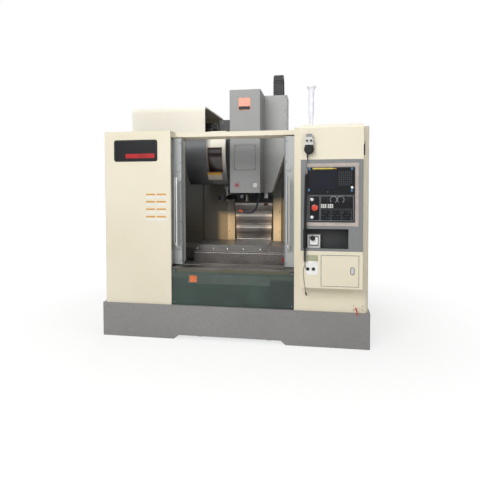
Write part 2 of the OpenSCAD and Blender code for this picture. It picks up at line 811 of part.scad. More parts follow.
module coolant_hose() {
    last = len(HOSE) - 1;
    color("#22406A") placed() {
        translate(HOSE[0]) translate([0, 0, -13]) cylinder(h = 12.6, d = 34, $fn = 6);
        for (i = [0 : last - 1]) {
            step = norm(HOSE[i + 1] - HOSE[i]);
            towards(HOSE[i], HOSE[i + 1]) cylinder(h = step * 0.75, d1 = hose_d, d2 = hose_d - 5, $fn = 24);
            translate(HOSE[i + 1]) sphere(d = hose_d - 3, $fn = 24);
        }
        towards(HOSE[last], HOSE[last] + [-60, 2, 20]) {
            cylinder(h = 26, d = hose_d, $fn = 24);
            translate([0, 0, 26]) cylinder(h = 42, d1 = hose_d - 2, d2 = 11, $fn = 24);
        }
    }
}

// Magazine disc with its pots; the lowest place is left for the pot that tips
pot_mouth = 44;

module pot_shape() {
    rotate([0, 90, 0]) difference() {
        union() {
            cylinder(h = pot_len - 26, d = pot_d);
            translate([0, 0, pot_len - 27]) cylinder(h = 8, d = pot_d - 12);
            translate([0, 0, pot_len - 20]) cylinder(h = 20, d = pot_d);
        }
        translate([0, 0, 30]) cylinder(h = pot_len, d1 = pot_mouth - 18, d2 = pot_mouth);
    }
}

module magazine_disc() {
    hub_x1 = disc_x + 90;
    color("#55585A") placed() translate([0, drum_y, drum_z]) {
        difference() {
            union() {
                translate([disc_x - 12, 0, 0]) rotate([0, 90, 0]) cylinder(h = 12, r = pot_circle + 36, $fn = 96);
                translate([disc_x, 0, 0]) rotate([0, 90, 0]) cylinder(h = hub_x1 - disc_x, d = 160);
            }
            translate([disc_x - 20, 0, 0]) rotate([0, 90, 0]) cylinder(h = 200, d = 60.1);
            for (i = [0 : 5]) rotate([60 * i + 30, 0, 0]) translate([disc_x - 20, 0, 190])
                rotate([0, 90, 0]) cylinder(h = 40, d = 110);
        }
        for (i = [1 : pots - 1]) rotate([360 / pots * i, 0, 0]) translate([disc_x - 2, 0, -pot_circle]) pot_shape();
        // Ears that hold the tipping pot's pins
        for (s = [-1, 1]) difference() {
            translate([disc_x - 2, s * 38 - 4, -pot_circle - 14]) cube([62, 8, 28]);
            translate([pot_x, 50, -pot_circle]) rotate([90, 0, 0]) cylinder(h = 100, d = 14.1);
        }
    }
}

// Tool pot at the change position, tipping about its two pins
module tool_pot() {
    back = 18;
    color(dark) placed() translate([pot_x, drum_y, pot_z]) {
        difference() {
            union() {
                translate([-back, 0, 0]) rotate([0, 90, 0]) cylinder(h = 66 + back, d = pot_d);
                translate([66, 0, 0]) rotate([0, 90, 0]) cylinder(h = 6, d = pot_d - 12);
                translate([72, 0, 0]) rotate([0, 90, 0]) cylinder(h = 20, d = pot_d);
            }
            rotate([0, 90, 0]) cylinder(h = 100, d1 = pot_mouth - 18, d2 = pot_mouth);
        }
        for (s = [-1, 1]) rotate([-90 * s, 0, 0]) translate([0, 0, pot_d / 2 - 4]) cylinder(h = 13, d = 14);
    }
}

// Cam box with the arm's bearing boss, the magazine's shaft, the motor and its beam
module cam_box() {
    color(dark) placed() {
        difference() {
            union() {
                soft_block([cam_x0, 940, cam_z0], [cam_x1, 1190, cam_z1], 12);
                bar_z(82, 1400, cam_z0, arm_x, arm_y);
                bar_z(110, cam_z0 - 16, cam_z0, arm_x, arm_y);
            }
            bar_z(shaft_d + 0.1, 1390, 1800, arm_x, arm_y);
        }
        // Fixed shaft of the disc with its end flange against the cover
        bar_x(60, drum_x0 + sheet, cam_x0 + 1, drum_y, drum_z);
        bar_x(120, drum_x0 + sheet, disc_x - 14, drum_y, drum_z);
        // Drive motor on top and its round plug
        soft_block([cam_x0, 1040, cam_z1], [cam_x1 - 12, 1190, 2190], 8);
        bar_y(22, 1034, 1041, cam_x0 + 46, 2160);
        // Mounting arm to the column's side
        block([cam_x0, 1189, cam_z1 + 20], [spindle_x - column_w / 2 - 12, column_y + 130, cam_z1 + 140]);
        block([spindle_x - column_w / 2 - 14, column_y + 10, cam_z1 - 30],
              [spindle_x - column_w / 2, column_y + 160, cam_z1 + 190]);
    }
}

// A block with rounded upright edges
module soft_block(a, b, r) {
    along_z(a[2], b[2]) soft_rect([a[0], a[1]], [b[0], b[1]], r);
}

// Drum-shaped cover around the magazine, open at the right, above and below
cover_z1 = 2030;

module drum_section(r0, r1, z0, z1) {
    intersection() {
        translate([drum_y, drum_z]) difference() {
            circle(r1, $fn = 120);
            if (r0 > 0) circle(r0, $fn = 120);
        }
        translate([drum_y - 500, z0]) square([1000, z1 - z0]);
    }
}

// Room for the mounting arm and the column at the back
module arm_notch() {
    block([cam_x0 - 10, drum_y + 100, cam_z1], [drum_x1 + 1, drum_y + drum_r + 1, cover_z1 + 1]);
    block([spindle_x - column_w / 2 - 20, z_cover_y - 30, drum_cut - 1],
          [drum_x1 + 1, drum_y + drum_r + 1, cover_z1]);
}

window_x0 = -370;
window_x1 = -222;
window_z0 = 1592;
window_z1 = 1845;

module magazine_cover() {
    color("#D9D5CA") placed() {
        difference() {
            along_x(drum_x0, drum_x1) drum_section(drum_r - sheet, drum_r, drum_cut, cover_z1);
            block([window_x0, drum_y - drum_r - 20, window_z0], [window_x1, drum_y - drum_r / 2, window_z1]);
            arm_notch();
        }
        along_x(drum_x0, drum_x0 + sheet) drum_section(0, drum_r, drum_cut, cover_z1);
        // Rolled rim at the open end
        difference() {
            along_x(drum_x1 - 4, drum_x1) drum_section(drum_r - 20, drum_r, drum_cut, cover_z1);
            arm_notch();
        }
    }
}

// Dark window, bent to the cover and set in from behind
module magazine_window() {
    lap = 12;
    color("#2A0E0E") placed() intersection() {
        along_x(window_x0 - lap, window_x1 + lap)
            drum_section(drum_r - sheet - 5, drum_r - sheet - 0.3, window_z0 - lap, window_z1 + lap);
        block([window_x0 - lap, drum_y - drum_r, window_z0 - lap], [window_x1 + lap, drum_y - 200, window_z1 + lap]);
    }
}

// Change arm's shaft, which drops out of the cam box
module atc_shaft() {
    color(steel) placed() {
        bar_z(shaft_d, arm_z1 - arm_t - 4, 1640, arm_x, arm_y);
        bar_z(74, arm_z1 - arm_t - 14, arm_z1 - arm_t - 0.3, arm_x, arm_y);
    }
}

// Double-ended change arm, parked along Y, with an open jaw at each end
module atc_arm() {
    jaw = flange_d / 2 + 1.5;
    half = 47;
    color("#6E7274") placed() translate([arm_x, arm_y, arm_z1 - arm_t]) difference() {
        linear_extrude(arm_t) difference() {
            union() {
                circle(62);
                polygon([[-34, -arm_r + 30], [34, -arm_r + 30], [44, 0], [34, arm_r - 30], [-34, arm_r - 30], [-44, 0]]);
                for (s = [-1, 1]) translate([0, s * arm_r]) circle(half);
            }
            for (s = [-1, 1]) translate([0, s * arm_r]) {
                circle(jaw);
                translate([s < 0 ? 0 : -80, -jaw + 0]) square([80, 2 * jaw]);
            }
        }
        translate([0, 0, -1]) cylinder(h = arm_t + 2, d = shaft_d + 0.1);
        // Lightened web
        for (s = [-1, 1]) translate([0, s * 130, arm_t - 10]) linear_extrude(20)
            soft_rect([-16, -50], [16, 50], 14);
    }
}

// Left cover: front panel, top plate, lip at the door and the machine's left side
module left_cover() {
    top_d = rail_top_y - front_y;
    color(cream) placed() {
        along_z(base_h, cover_top) difference() {
            sheet_ring([cover_x0, front_y], [cover_x0 + 1200, side_y1 + 200], [12, 12, 0, 0], sheet);
            translate([cover_x1, -100]) square(3000);
            translate([-2000, side_y1]) square([4000, 3000]);
        }
        block([cover_x1 - sheet, front_y, base_h], [cover_x1, front_y + 28, cover_top]);
        block([cover_x1 - sheet, front_y, rail_z0], [cover_x1, door_y + 6, cover_top]);
        along_z(cover_top - sheet, cover_top) rounded([cover_x0, front_y], [cover_x1, rail_top_y], [12, 0, 0, 0]);
        // Stiffening folds inside the side
        for (y = [520, 1080]) block([cover_x0, y, base_h], [cover_x0 + 32, y + sheet, cover_top]);
        block([cover_x0, rail_top_y, cover_top - sheet], [cover_x0 + 40, side_y1 - 31, cover_top]);
        block([cover_x0, front_y + 12, base_h], [cover_x1, front_y + 40, base_h + sheet]);
        block([cover_x0, front_y + 12, base_h], [cover_x0 + 40, side_y1 - 31, base_h + sheet]);
    }
}

// Right pillar: front with a rounded corner, lip at the door and the machine's right side
module right_pillar() {
    color(cream) placed() {
        along_z(base_h, cover_top) difference() {
            sheet_ring([pillar_x1 - 1200, front_y], [pillar_x1, side_y1 + 200], [12, corner_r, 0, 0], sheet);
            translate([pillar_x0 - 3000, -100]) square(3000);
            translate([-2000, side_y1]) square([4000, 3000]);
        }
        block([pillar_x0, front_y, base_h], [pillar_x0 + sheet, door_y - 12, cover_top]);
        block([pillar_x0, front_y, rail_z0], [pillar_x0 + sheet, door_y + 6, cover_top]);
        along_z(cover_top - sheet, cover_top)
            rounded([pillar_x0, front_y], [pillar_x1, rail_top_y], [0, corner_r, 0, 0]);
        for (y = [520, 1080]) block([pillar_x1 - 32, y, base_h], [pillar_x1, y + sheet, cover_top]);
        block([pillar_x1 - 40, rail_top_y, cover_top - sheet], [pillar_x1, side_y1 - 31, cover_top]);
        block([pillar_x0, front_y, base_h], [pillar_x1 - corner_r, front_y + 40, base_h + sheet]);
        block([pillar_x1 - 40, front_y + corner_r, base_h], [pillar_x1, side_y1 - 31, base_h + sheet]);
        // Small valve plate at the foot of the pillar
        block([port_x - 23, front_y - 3, 340], [port_x + 65, front_y, 387]);
        for (x = [port_x, port_x + 40]) bar_y(16, lever_y, front_y - 2, x, 361);
    }
}

// Top rail with the door track below it
module top_rail() {
    y0 = rail_top_y;
    y1 = y0 + rail_depth;
    z0 = rail_z0 + 2;
    z1 = cover_top - 2;
    color(cream) placed() {
        along_x(cover_x1, pillar_x0) difference() {
            rounded([y0, z0], [y1, z1], [6, 0, 0, 6]);
            rounded([y0 + sheet, z0 - 1], [y1 - sheet, z1 - sheet], [0, 0, 0, 3]);
        }
        // Track for the doors' hangers, running behind the covers too
        along_x(cover_x0 + 40, pillar_x1 - 60) difference() {
            translate([door_y + 8, z0 + 6]) square([y0 - door_y - 8, cover_top - sheet - z0 - 6]);
            translate([door_y + 14, z0 + 5]) square([34, 22]);
            translate([door_y + 60, z0 + 5]) square([y0 - door_y - 66, 25]);
        }
    }
}

// Green lower front panel with folded edges
module front_panel() {
    y0 = front_y + 14;
    color(green) placed() {
        along_x(cover_x1 + 0.5, pillar_x0 - 0.5) difference() {
            rounded([y0, base_h], [y0 + 36, sill_z - sheet], [3, 0, 0, 3]);
            translate([y0 + sheet, base_h + sheet]) square([60, green_h - 3 * sheet]);
        }
        for (x = [cover_x1 + 0.5, pillar_x0 - 0.5 - sheet])
            block([x, y0, base_h], [x + sheet, y0 + 36, sill_z - sheet]);
    }
}

// Bright sill on top of the green panel with the lower door track
splash_y = 80;
tongue_y = 24;
tongue_t = 10;

module door_sill() {
    y1 = door_y + door_d + 70;
    x0 = cover_x0 + 12;
    color(steel) placed() {
        along_x(cover_x1 + 0.5, pillar_x0 - 0.5) polygon([
            [front_y + 8, sill_z - sheet], [front_y + 8, sill_z - 14], [front_y + 8 + sheet, sill_z - 14],
            [front_y + 8 + sheet, sill_z - sheet], [y1, sill_z - sheet], [y1, sill_z], [front_y + 8, sill_z]
        ]);
        // Inner splash plate, and the two ribs that guide the doors' lower edge
        along_x(cover_x1 + 0.5, pillar_x0 - 0.5) translate([splash_y, base_h]) square([sheet, green_h - 1]);
        for (y = [door_y + tongue_y - 4, door_y + tongue_y + tongue_t + 0.3])
            block([cover_x0 + 45, y, sill_z - 1], [pillar_x1 - 60, y + 3.7, sill_z + 5]);
        for (x = [[cover_x0 + 45, cover_x1 + 0.6], [pillar_x0 - 0.6, pillar_x1 - 60]])
            block([x[0], door_y - 6, sill_z - sheet], [x[1], y1, sill_z]);
    }
}

// Rear wall: two folded panels that close the work space beside the column
module rear_wall() {
    y0 = z_cover_y + 7;
    in0 = spindle_x - 320;
    in1 = spindle_x + 330;
    x0 = cover_x0 + sheet;
    x1 = pillar_x1 - sheet;
    color(cream) placed() difference() {
        along_z(base_h, cover_top) {
        translate([x0, side_y1 - sheet]) square([in0 - x0, sheet]);
        translate([in0 - sheet, y0]) square([sheet, side_y1 - y0]);
        translate([in0 - sheet, y0]) square([92, sheet]);
        translate([in1, side_y1 - sheet]) square([x1 - in1, sheet]);
        translate([in1, y0]) square([sheet, side_y1 - y0]);
        translate([in1 - 89, y0]) square([92, sheet]);
        translate([-667, side_y1 - 16]) square([6, 14]);
        translate([x0, side_y1 - 30]) square([sheet, 30]);
        translate([x1 - sheet, side_y1 - 30]) square([sheet, 30]);
        }
        block([spindle_x - bed_w / 2 - 4, z_cover_y, base_h - 1], [spindle_x + bed_w / 2 + 4, base_d, bed_top + 0.5]);
        // Room for the magazine cover
        block([in0 - 4, y0 - 1, drum_cut - 18], [in0 + 90, drum_y + drum_r + 10, cover_top + 1]);
    }
}

// Hood over the magazine: rounded front edge, open right end and bottom
module hood() {
    x0 = cover_x0;
    x1 = x0 + hood_l;
    z0 = cover_top;
    z1 = z0 + hood_h;
    lip = 16;
    radii = [0, 0, 0, hood_r];
    color(cream) placed() {
        along_x(x0, x1) difference() {
            rounded([hood_y, z0], [side_y1, z1], radii);
            rounded([hood_y + sheet, z0 - 1], [side_y1 - sheet, z1 - sheet], [0, 0, 0, hood_r - sheet]);
        }
        along_x(x0, x0 + sheet) rounded([hood_y, z0], [side_y1, z1], radii);
        along_x(x1 - sheet, x1) difference() {
            rounded([hood_y, z0], [side_y1, z1], radii);
            rounded([hood_y + lip, z0 - 1], [side_y1 - lip, z1 - lip], [0, 0, 0, hood_r - lip]);
        }
    }
}

// One sliding door: folded frame, window opening, closing strip, hangers, bow handle
window_low = 150;
window_top = 150;

module door_frame(w0, w1) {
    z0 = door_z0;
    z1 = door_z1;
    win_a = [w0 + stile, z0 + window_low];
    win_b = [w1 - stile, z1 - window_top];
    difference() {
        along_y(door_y, door_y + door_d) difference() {
            square_between([w0, z0], [w1, z1]);
            soft_rect(win_a, win_b, 30);
        }
        along_y(door_y + sheet, door_y + door_d + 1) difference() {
            square_between([w0 + sheet, z0 + sheet], [w1 - sheet, z1 - sheet]);
            soft_rect(win_a - [sheet, sheet], win_b + [sheet, sheet], 33);
        }
    }
}

module square_between(a, b) {
    translate(a) square(b - a);
}

module bow_handle(x) {
    z0 = (door_z0 + door_z1) / 2 - handle_h / 2 - 62;
    z1 = z0 + handle_h;
    r = handle_out;
    y = door_y - handle_out;
    bar_z(handle_d, z0 + r, z1 - r, x, y);
    translate([x, door_y, z1 - r]) rotate([0, -90, 0]) rotate([0, 0, 90])
        rotate_extrude(angle = 90) translate([r, 0]) circle(d = handle_d);
    translate([x, door_y, z0 + r]) rotate([0, -90, 0]) rotate([0, 0, 180])
        rotate_extrude(angle = 90) translate([r, 0]) circle(d = handle_d);
    for (z = [z0, z1]) bar_y(handle_d + 14, door_y - 5, door_y, x, z);
}

// A door whose leading edge is at x; s is -1 on the left and 1 on the right
module door(s) {
    edge = s * door_travel;
    far = s * (door_travel + door_w);
    w0 = min(edge, far);
    w1 = max(edge, far);
    color(grey) placed() {
        door_frame(w0, w1);
        // Inner strip at the leading edge
        block([s > 0 ? edge : edge - 26, door_y + door_d, door_z0 + 20],
              [s > 0 ? edge + 26 : edge, door_y + door_d + 42, door_z1 - 20]);
        bow_handle(edge + s * 40);
        // Hangers whose rollers run in the track
        for (x = [w0 + 90, w1 - 130]) {
            block([x, door_y + 24, door_z1 - 30], [x + 40, door_y + 28, rail_z0 + 22]);
            bar_y(18, door_y + 28, door_y + 42, x + 20, rail_z0 + 18);
        }
        // Guide tongue in the lower track
        for (x = [w0 + 60, w1 - 120]) block([x, door_y + tongue_y, sill_z + 0.3], [x + 60, door_y + tongue_y + tongue_t, door_z0 + 2]);
    }
}

module left_door() {
    door(-1);
}
module right_door() {
    door(1);
}

// Window panes, clamped behind the door frames' inner flange
module window(s) {
    x0 = min(s * (door_travel + stile), s * (door_travel + door_w - stile));
    lap = 0;
    color("#B8C4C8", 0.4) placed()
        along_y(door_y + 6, door_y + 14)
            soft_rect([x0 - lap, door_z0 + window_low], [x0 + door_w - 2 * stile, door_z1 - window_top], 30);
}

module left_window() {
    window(-1);
}
module right_window() {
    window(1);
}

// Operator housing: shell with a sloped top, openings for the fascia and the small door
small_x0 = 826;
small_x1 = 1140;
small_z0 = 572;
small_z1 = 840;
fascia_x0 = op_x + 2;
fascia_x1 = op_x1 - 2;

module operator_box() {
    z1 = op_z + op_h;
    slope_h = 32;
    slope_d = 40;
    outline = [[op_y, op_z], [front_y, op_z], [front_y, z1 + slope_h], [op_y + slope_d, z1 + slope_h], [op_y, z1]];
    t = panel_t;
    color(cream) placed() {
        difference() {
            along_x(op_x, op_x1) polygon(outline);
            along_x(op_x + t, op_x1 - t) polygon([
                [op_y + t, op_z + t], [front_y - t, op_z + t], [front_y - t, z1 + slope_h - t],
                [op_y + slope_d + 1, z1 + slope_h - t], [op_y + t, z1 - 1]
            ]);
            block([op_x - 1, op_y - 1, fascia_z], [op_x1 + 1, op_y + 14, fascia_z1]);
            block([small_x0, op_y - 1, small_z0], [small_x1, op_y + 5, small_z1]);
        }
        // Shelf above the small cupboard and its left wall
        block([op_x + t, op_y + 16, fascia_z - 12], [op_x1 - t, front_y - t, fascia_z - 10]);
        block([small_x0 - 8, op_y + t, op_z + t], [small_x0 - 6, front_y - t, fascia_z - 12]);
        // Pivot rail on the right side
        block([op_x1, op_y + 30, 1790], [op_x1 + 10, op_y + 50, 1880]);
    }
}

// Grey fascia with the tray niche and the box for the power socket
niche_x0 = 672;
niche_x1 = 1052;
niche_z0 = 897;
niche_z1 = 1066;

module control_fascia() {
    y1 = op_y + 14;
    color(grey) placed() {
        difference() {
            union() {
                block([op_x, op_y, fascia_z + 0.5], [op_x1, y1, fascia_z1 - 0.5]);
                block([niche_x0 - 3, y1, niche_z0 - 3], [niche_x1 + 3, op_y + niche_d, niche_z1 + 3]);
            }
            block([niche_x0, op_y - 1, niche_z0], [niche_x1, op_y + niche_d - 3, niche_z1]);
            block([op_x + 4, op_y + 3, niche_z1 + 6], [op_x1 - 4, y1 + 1, fascia_z1 - 4]);
        }
        // Power socket box with its plug
        block([708, op_y + 30, niche_z0], [816, op_y + niche_d - 3, 1010]);
        soft_plate([722, 918], [802, 1000], 8, op_y + 24, op_y + 30);
        bar_y(44, op_y + 2, op_y + 24, 752, 984);
    }
}

// A plate with rounded corners, upright in X and Z
module soft_plate(a, b, r, y0, y1) {
    along_y(y0, y1) soft_rect(a, b, r);
}

// Display and keyboard unit with its screen recess and keys
lcd_x0 = 707;
lcd_x1 = 1101;
lcd_z0 = 1365;
lcd_z1 = 1591;

module display_unit() {
    screen_x1 = 952;
    color(dark) placed() {
        difference() {
            soft_plate([lcd_x0, lcd_z0], [lcd_x1, lcd_z1], 5, unit_y, op_y);
            soft_plate([lcd_x0 + 26, lcd_z0 + 34], [screen_x1, lcd_z1 - 26], 3, unit_y - 1, unit_y + 4);
            bar_y(22.2, unit_y - 1, op_y + 1, 1079, 1421);
        }
        // Soft keys under the screen and the keyboard's keys
        for (i = [0:8]) block([lcd_x0 + 30 + i * 24, unit_y - 1.5, lcd_z0 + 12], [lcd_x0 + 48 + i * 24, unit_y + 1, lcd_z0 + 24]);
        for (i = [0:6], j = [0:5])
            if (!(i > 4 && j < 2))
                block([screen_x1 + 14 + i * 18, unit_y - 2, lcd_z0 + 42 + j * 27],
                      [screen_x1 + 28 + i * 18, unit_y + 1, lcd_z0 + 62 + j * 27]);
    }
}

// Operator panel with its raised frame, divider and key blocks
pan_x0 = 712;
pan_x1 = 1101;
pan_z0 = 1128;
pan_z1 = 1361;
dial_x = [851, 926, 986, 1060];
dial_z = 1318;
estop_x = 769;
estop_z = 1248;
push_x = 746;
push_z = [1317, 1165];
stem_d = 12;

module operator_panel() {
    color(dark) placed() {
        difference() {
            union() {
                soft_plate([pan_x0, pan_z0], [pan_x1, pan_z1 - 1], 6, unit_y, op_y);
                along_y(unit_y - 1.5, unit_y + 1) difference() {
                    soft_rect([pan_x0 + 8, pan_z0 + 8], [pan_x1 - 8, pan_z1 - 10], 14);
                    soft_rect([pan_x0 + 12, pan_z0 + 12], [pan_x1 - 12, pan_z1 - 14], 10);
                }
                block([812, unit_y - 1.5, pan_z0 + 9], [816, unit_y + 1, pan_z1 - 11]);
            }
            for (x = dial_x) bar_y(stem_d + 0.2, unit_y - 2, op_y + 1, x, dial_z);
            for (z = push_z) bar_y(20.2, unit_y - 2, op_y + 1, push_x, z);
            bar_y(24.2, unit_y - 2, op_y + 1, estop_x, estop_z);
        }
        // Light keys: two blocks of three by two
        for (b = [0, 1], i = [0:2], j = [0, 1])
            block([822 + b * 56 + i * 16, unit_y - 4, 1247 + j * 18], [835 + b * 56 + i * 16, unit_y + 1, 1262 + j * 18]);
        // Axis and mode keys: three blocks of three by four
        for (b = [0:2], i = [0:2], j = [0:3])
            block([828 + b * 88 + i * 22, unit_y - 3, 1148 + j * 20], [844 + b * 88 + i * 22, unit_y + 1, 1161 + j * 20]);
    }
}

// Emergency stop: mushroom head on its stem
module estop_button() {
    color("#C8402E") placed() translate([estop_x, unit_y, estop_z]) rotate([90, 0, 0]) {
        translate([0, 0, -3]) cylinder(h = 15, d = 24);
        rotate_extrude() polygon([
            [0, 10], [15, 10], [17, 14], [estop_d / 2 - 2, 18], [estop_d / 2, 21], [estop_d / 2, 27],
            [estop_d / 2 - 2, 30], [estop_d / 2 - 7, 32], [0, 33]
        ]);
    }
}

// A rotary control: knurled skirt, grip and stem
module dial(i) {
    skirt = i == 2 ? 20 : 27;
    color(dark) placed() translate([dial_x[i], unit_y, dial_z]) rotate([90, 0, 0]) {
        translate([0, 0, -8]) cylinder(h = 9, d = stem_d);
        translate([0, 0, 0.4]) linear_extrude(13) difference() {
            circle(d = skirt);
            for (k = [0:9]) rotate(36 * k + 18) translate([skirt / 2 + 0.6, 0]) circle(d = 4);
        }
        translate([-2.5, -skirt / 2 + 3, 13]) cube([5, skirt - 6, 6]);
    }
}

module dial_1() {
    dial(0);
}
module dial_2() {
    dial(1);
}
module dial_3() {
    dial(2);
}
module dial_4() {
    dial(3);
}

// A push button with a slightly domed cap and a wider foot
module push(x, z, d) {
    color("white") placed() translate([x, unit_y, z]) rotate([90, 0, 0]) rotate_extrude() polygon([
        [0, -6], [d / 2, -6], [d / 2, 5], [d / 2 - 1.5, 6.4], [0, 7]
    ]);
}

module display_button() {
    push(1079, 1421, 22);
}
module start_button() {
    push(push_x, push_z[0], 20);
}
module stop_button() {
    push(push_x, push_z[1], 20);
}

// Small cupboard door, hinged at its left edge, with the latch's boss
module small_door() {
    g = 2;
    color(cream) placed() difference() {
        union() {
            soft_plate([small_x0 + 0.5, small_z0 + g], [small_x1 - g, small_z1 - g], 4, op_y - 2, op_y + 2);
            soft_plate([1072, 672], [1102, 728], 15, op_y - 4, op_y - 1);
        }
        bar_y(16.2, op_y - 6, op_y + 4, 1087, 708);
    }
}

// Turning latch: cam tongue behind, key barrel in front
module door_latch() {
    color(steel) placed() {
        bar_y(16, op_y - 9, op_y + 6, 1087, 708);
        block([1079, op_y + 3, 700], [1095, op_y + 5.5, 716]);
        block([1080, op_y - 12, 690], [1094, op_y - 8.5, 714]);
    }
}

// White plate with two round sockets and the olive label holder above
module socket_plate() {
    color("#F2F2EE") placed() {
        soft_plate([694, 668], [798, 784], 4, op_y - 3, op_y);
        for (x = [711, 760]) difference() {
            bar_y(27, op_y - 9, op_y - 2, x, 719);
            bar_y(19, op_y - 10, op_y - 5, x, 719);
        }
        difference() {
            block([706, op_y - 4, 790], [798, op_y, 838]);
            block([710, op_y - 5, 794], [794, op_y - 1.5, 834]);
        }
    }
}

// Signal tower: socket, three light rings and a flared cap
tower_x = 731;
tower_y = 220;

module signal_tower() {
    z = cover_top;
    color("#ECECF4") placed() translate([tower_x, tower_y, 0]) {
        rotate_extrude() polygon([
            [0, z], [34, z], [34, z + 6], [18, z + 10], [16, z + 60], [18, z + 70], [24, z + 150], [26, z + 160],
            [26, z + 228], [24.5, z + 230], [24.5, z + 234], [26, z + 236], [26, z + 304], [24.5, z + 306],
            [24.5, z + 310], [26, z + 312], [27, z + 360], [34, z + 380], [43, z + 388], [43, z + 396], [36, z + 403], [0, z + 405]
        ]);
    }
}

// Hand pendant: a narrow head, a round lower body, two knobs and its hook
pend_z = 1745;

module pendant_body() {
    color("#E9E9E4") placed() {
        difference() {
            union() {
                along_y(pendant_y0 - pendant_t, pendant_y0) {
                    translate([pendant_x, pend_z]) circle(42);
                    soft_rect([pendant_x - 36, pend_z + 5], [pendant_x + 36, pend_z + 96], 16);
                    soft_rect([pendant_x - 26, pend_z + 60], [pendant_x + 26, pend_z + 132], 12);
                }
                for (x = [-17, 17]) bar_y(18, pendant_y0 - pendant_t - 12, pendant_y0 - pendant_t + 1, pendant_x + x, pend_z + 72);
            }
            bar_y(12.2, pendant_y0 - pendant_t - 1, pendant_y0 - pendant_t + 20, pendant_x, pend_z);
            soft_plate([pendant_x - 20, pend_z + 106], [pendant_x + 20, pend_z + 126], 4,
                       pendant_y0 - pendant_t - 1, pendant_y0 - pendant_t + 2);
        }
        // Hook on the housing
        block([pendant_x - 14, pendant_y0, pend_z + 92], [pendant_x + 14, op_y, pend_z + 112]);
        // Cord gland under the body
        bar_z(15, pend_z - 62, pend_z - 38, pendant_x - 12, pendant_y0 - 20);
    }
}

// Handwheel of the pendant with its crank knob
module pendant_wheel() {
    y1 = pendant_y0 - pendant_t - 0.4;
    color(dark) placed() difference() {
        union() {
            bar_y(74, y1 - 14, y1, pendant_x, pend_z);
            bar_y(52, y1 - 18, y1 - 13, pendant_x, pend_z);
            bar_y(12, y1 - 2, y1 + 16, pendant_x, pend_z);
            bar_y(15, front_most, y1 - 13, pendant_x + 22, pend_z + 8);
        }
        for (k = [0:23]) translate([pendant_x, 0, pend_z]) rotate([0, 15 * k, 0])
            translate([38, 0, 0]) bar_y(5, y1 - 20, y1 - 2, 0, 0);
    }
}

// Coiled cord from the pendant to the left socket: lead, the coil's outer shape, and tail
cord_d = 7;
coil_d = 24;
CORD = concat(
    [for (q = [
        [708, -138, 1683], [708, -138, 1662], [706, -138, 1645], [703, -138, 1630], [700, -138, 1600],
        [697, -138, 1570], [695, -138, 1549]
    ]) [each q, cord_d]],
    [for (i = [0 : 9]) [688 + 7 * pow(1 - i / 9, 2), -138, 1541 - 760 * i / 9, coil_d]],
    [for (q = [
        [688, -138, 773], [688, -138, 757], [690, -138, 744], [695, -137, 732], [702, -134, 724],
        [708, -129, 720], [711, -122, 719], [711, -115, 719]
    ]) [each q, cord_d]]
);

// A round tube swept along points; a point's fourth number is the tube's diameter
module sweep(points, sides) {
    n = len(points);
    p = [for (q = points) [q[0], q[1], q[2]]];
    dirs = [for (i = [0 : n - 1]) let (v = p[min(i + 1, n - 1)] - p[max(i - 1, 0)]) v / norm(v)];
    ring = [for (i = [0 : n - 1])
        let (w = dirs[i], c = cross(w, [0.001, 0.3, 1] - w * 0.2), a = norm(c) > 0.05 ? c / norm(c) : [1, 0, 0])
        let (b = cross(w, a))
        for (k = [0 : sides - 1])
            p[i] + points[i][3] / 2 * (cos(360 * k / sides) * a + sin(360 * k / sides) * b)];
    sheets = [for (i = [0 : n - 2], k = [0 : sides - 1])
        [i * sides + k, (i + 1) * sides + k, (i + 1) * sides + (k + 1) % sides, i * sides + (k + 1) % sides]];
    caps = [[for (k = [0 : sides - 1]) k], [for (k = [0 : sides - 1]) (n - 1) * sides + sides - 1 - k]];
    polyhedron(points = ring, faces = concat(sheets, caps));
}

module coil_cord() {
    color(dark) placed() sweep(CORD, 10);
}

// Thin tether beside the sockets, with its dust cap at the end
TETHER = [
    [688, -110, 745, 9], [688, -113, 745, 9], [688, -113.5, 745, 4], [683, -117, 740, 4], [678, -119, 728, 4],
    [675, -120, 708, 4], [674, -120, 680, 4], [676, -120, 650, 4], [679, -120, 620, 4], [683, -120, 590, 4],
    [688, -120, 560, 4], [692, -120, 530, 4], [692.4, -120, 528.5, 8], [695, -120, 515, 8], [695.3, -120, 513.5, 15],
    [701, -120, 488, 12]
];

module cap_tether() {
    color(dark) placed() sweep(TETHER, 8);
}

// Red lever of the small valve, hanging in front of the base's skirt
lever_y = -2;
port_x = pillar_x1 - 109;

module port_lever() {
    color("#D8402C") placed() translate([port_x, lever_y - 0.4, 361]) {
        rotate([90, 0, 0]) cylinder(h = 7, d = 15);
        rotate([0, -14, 0]) translate([-5, -6, -64]) cube([10, 5, 64]);
    }
}

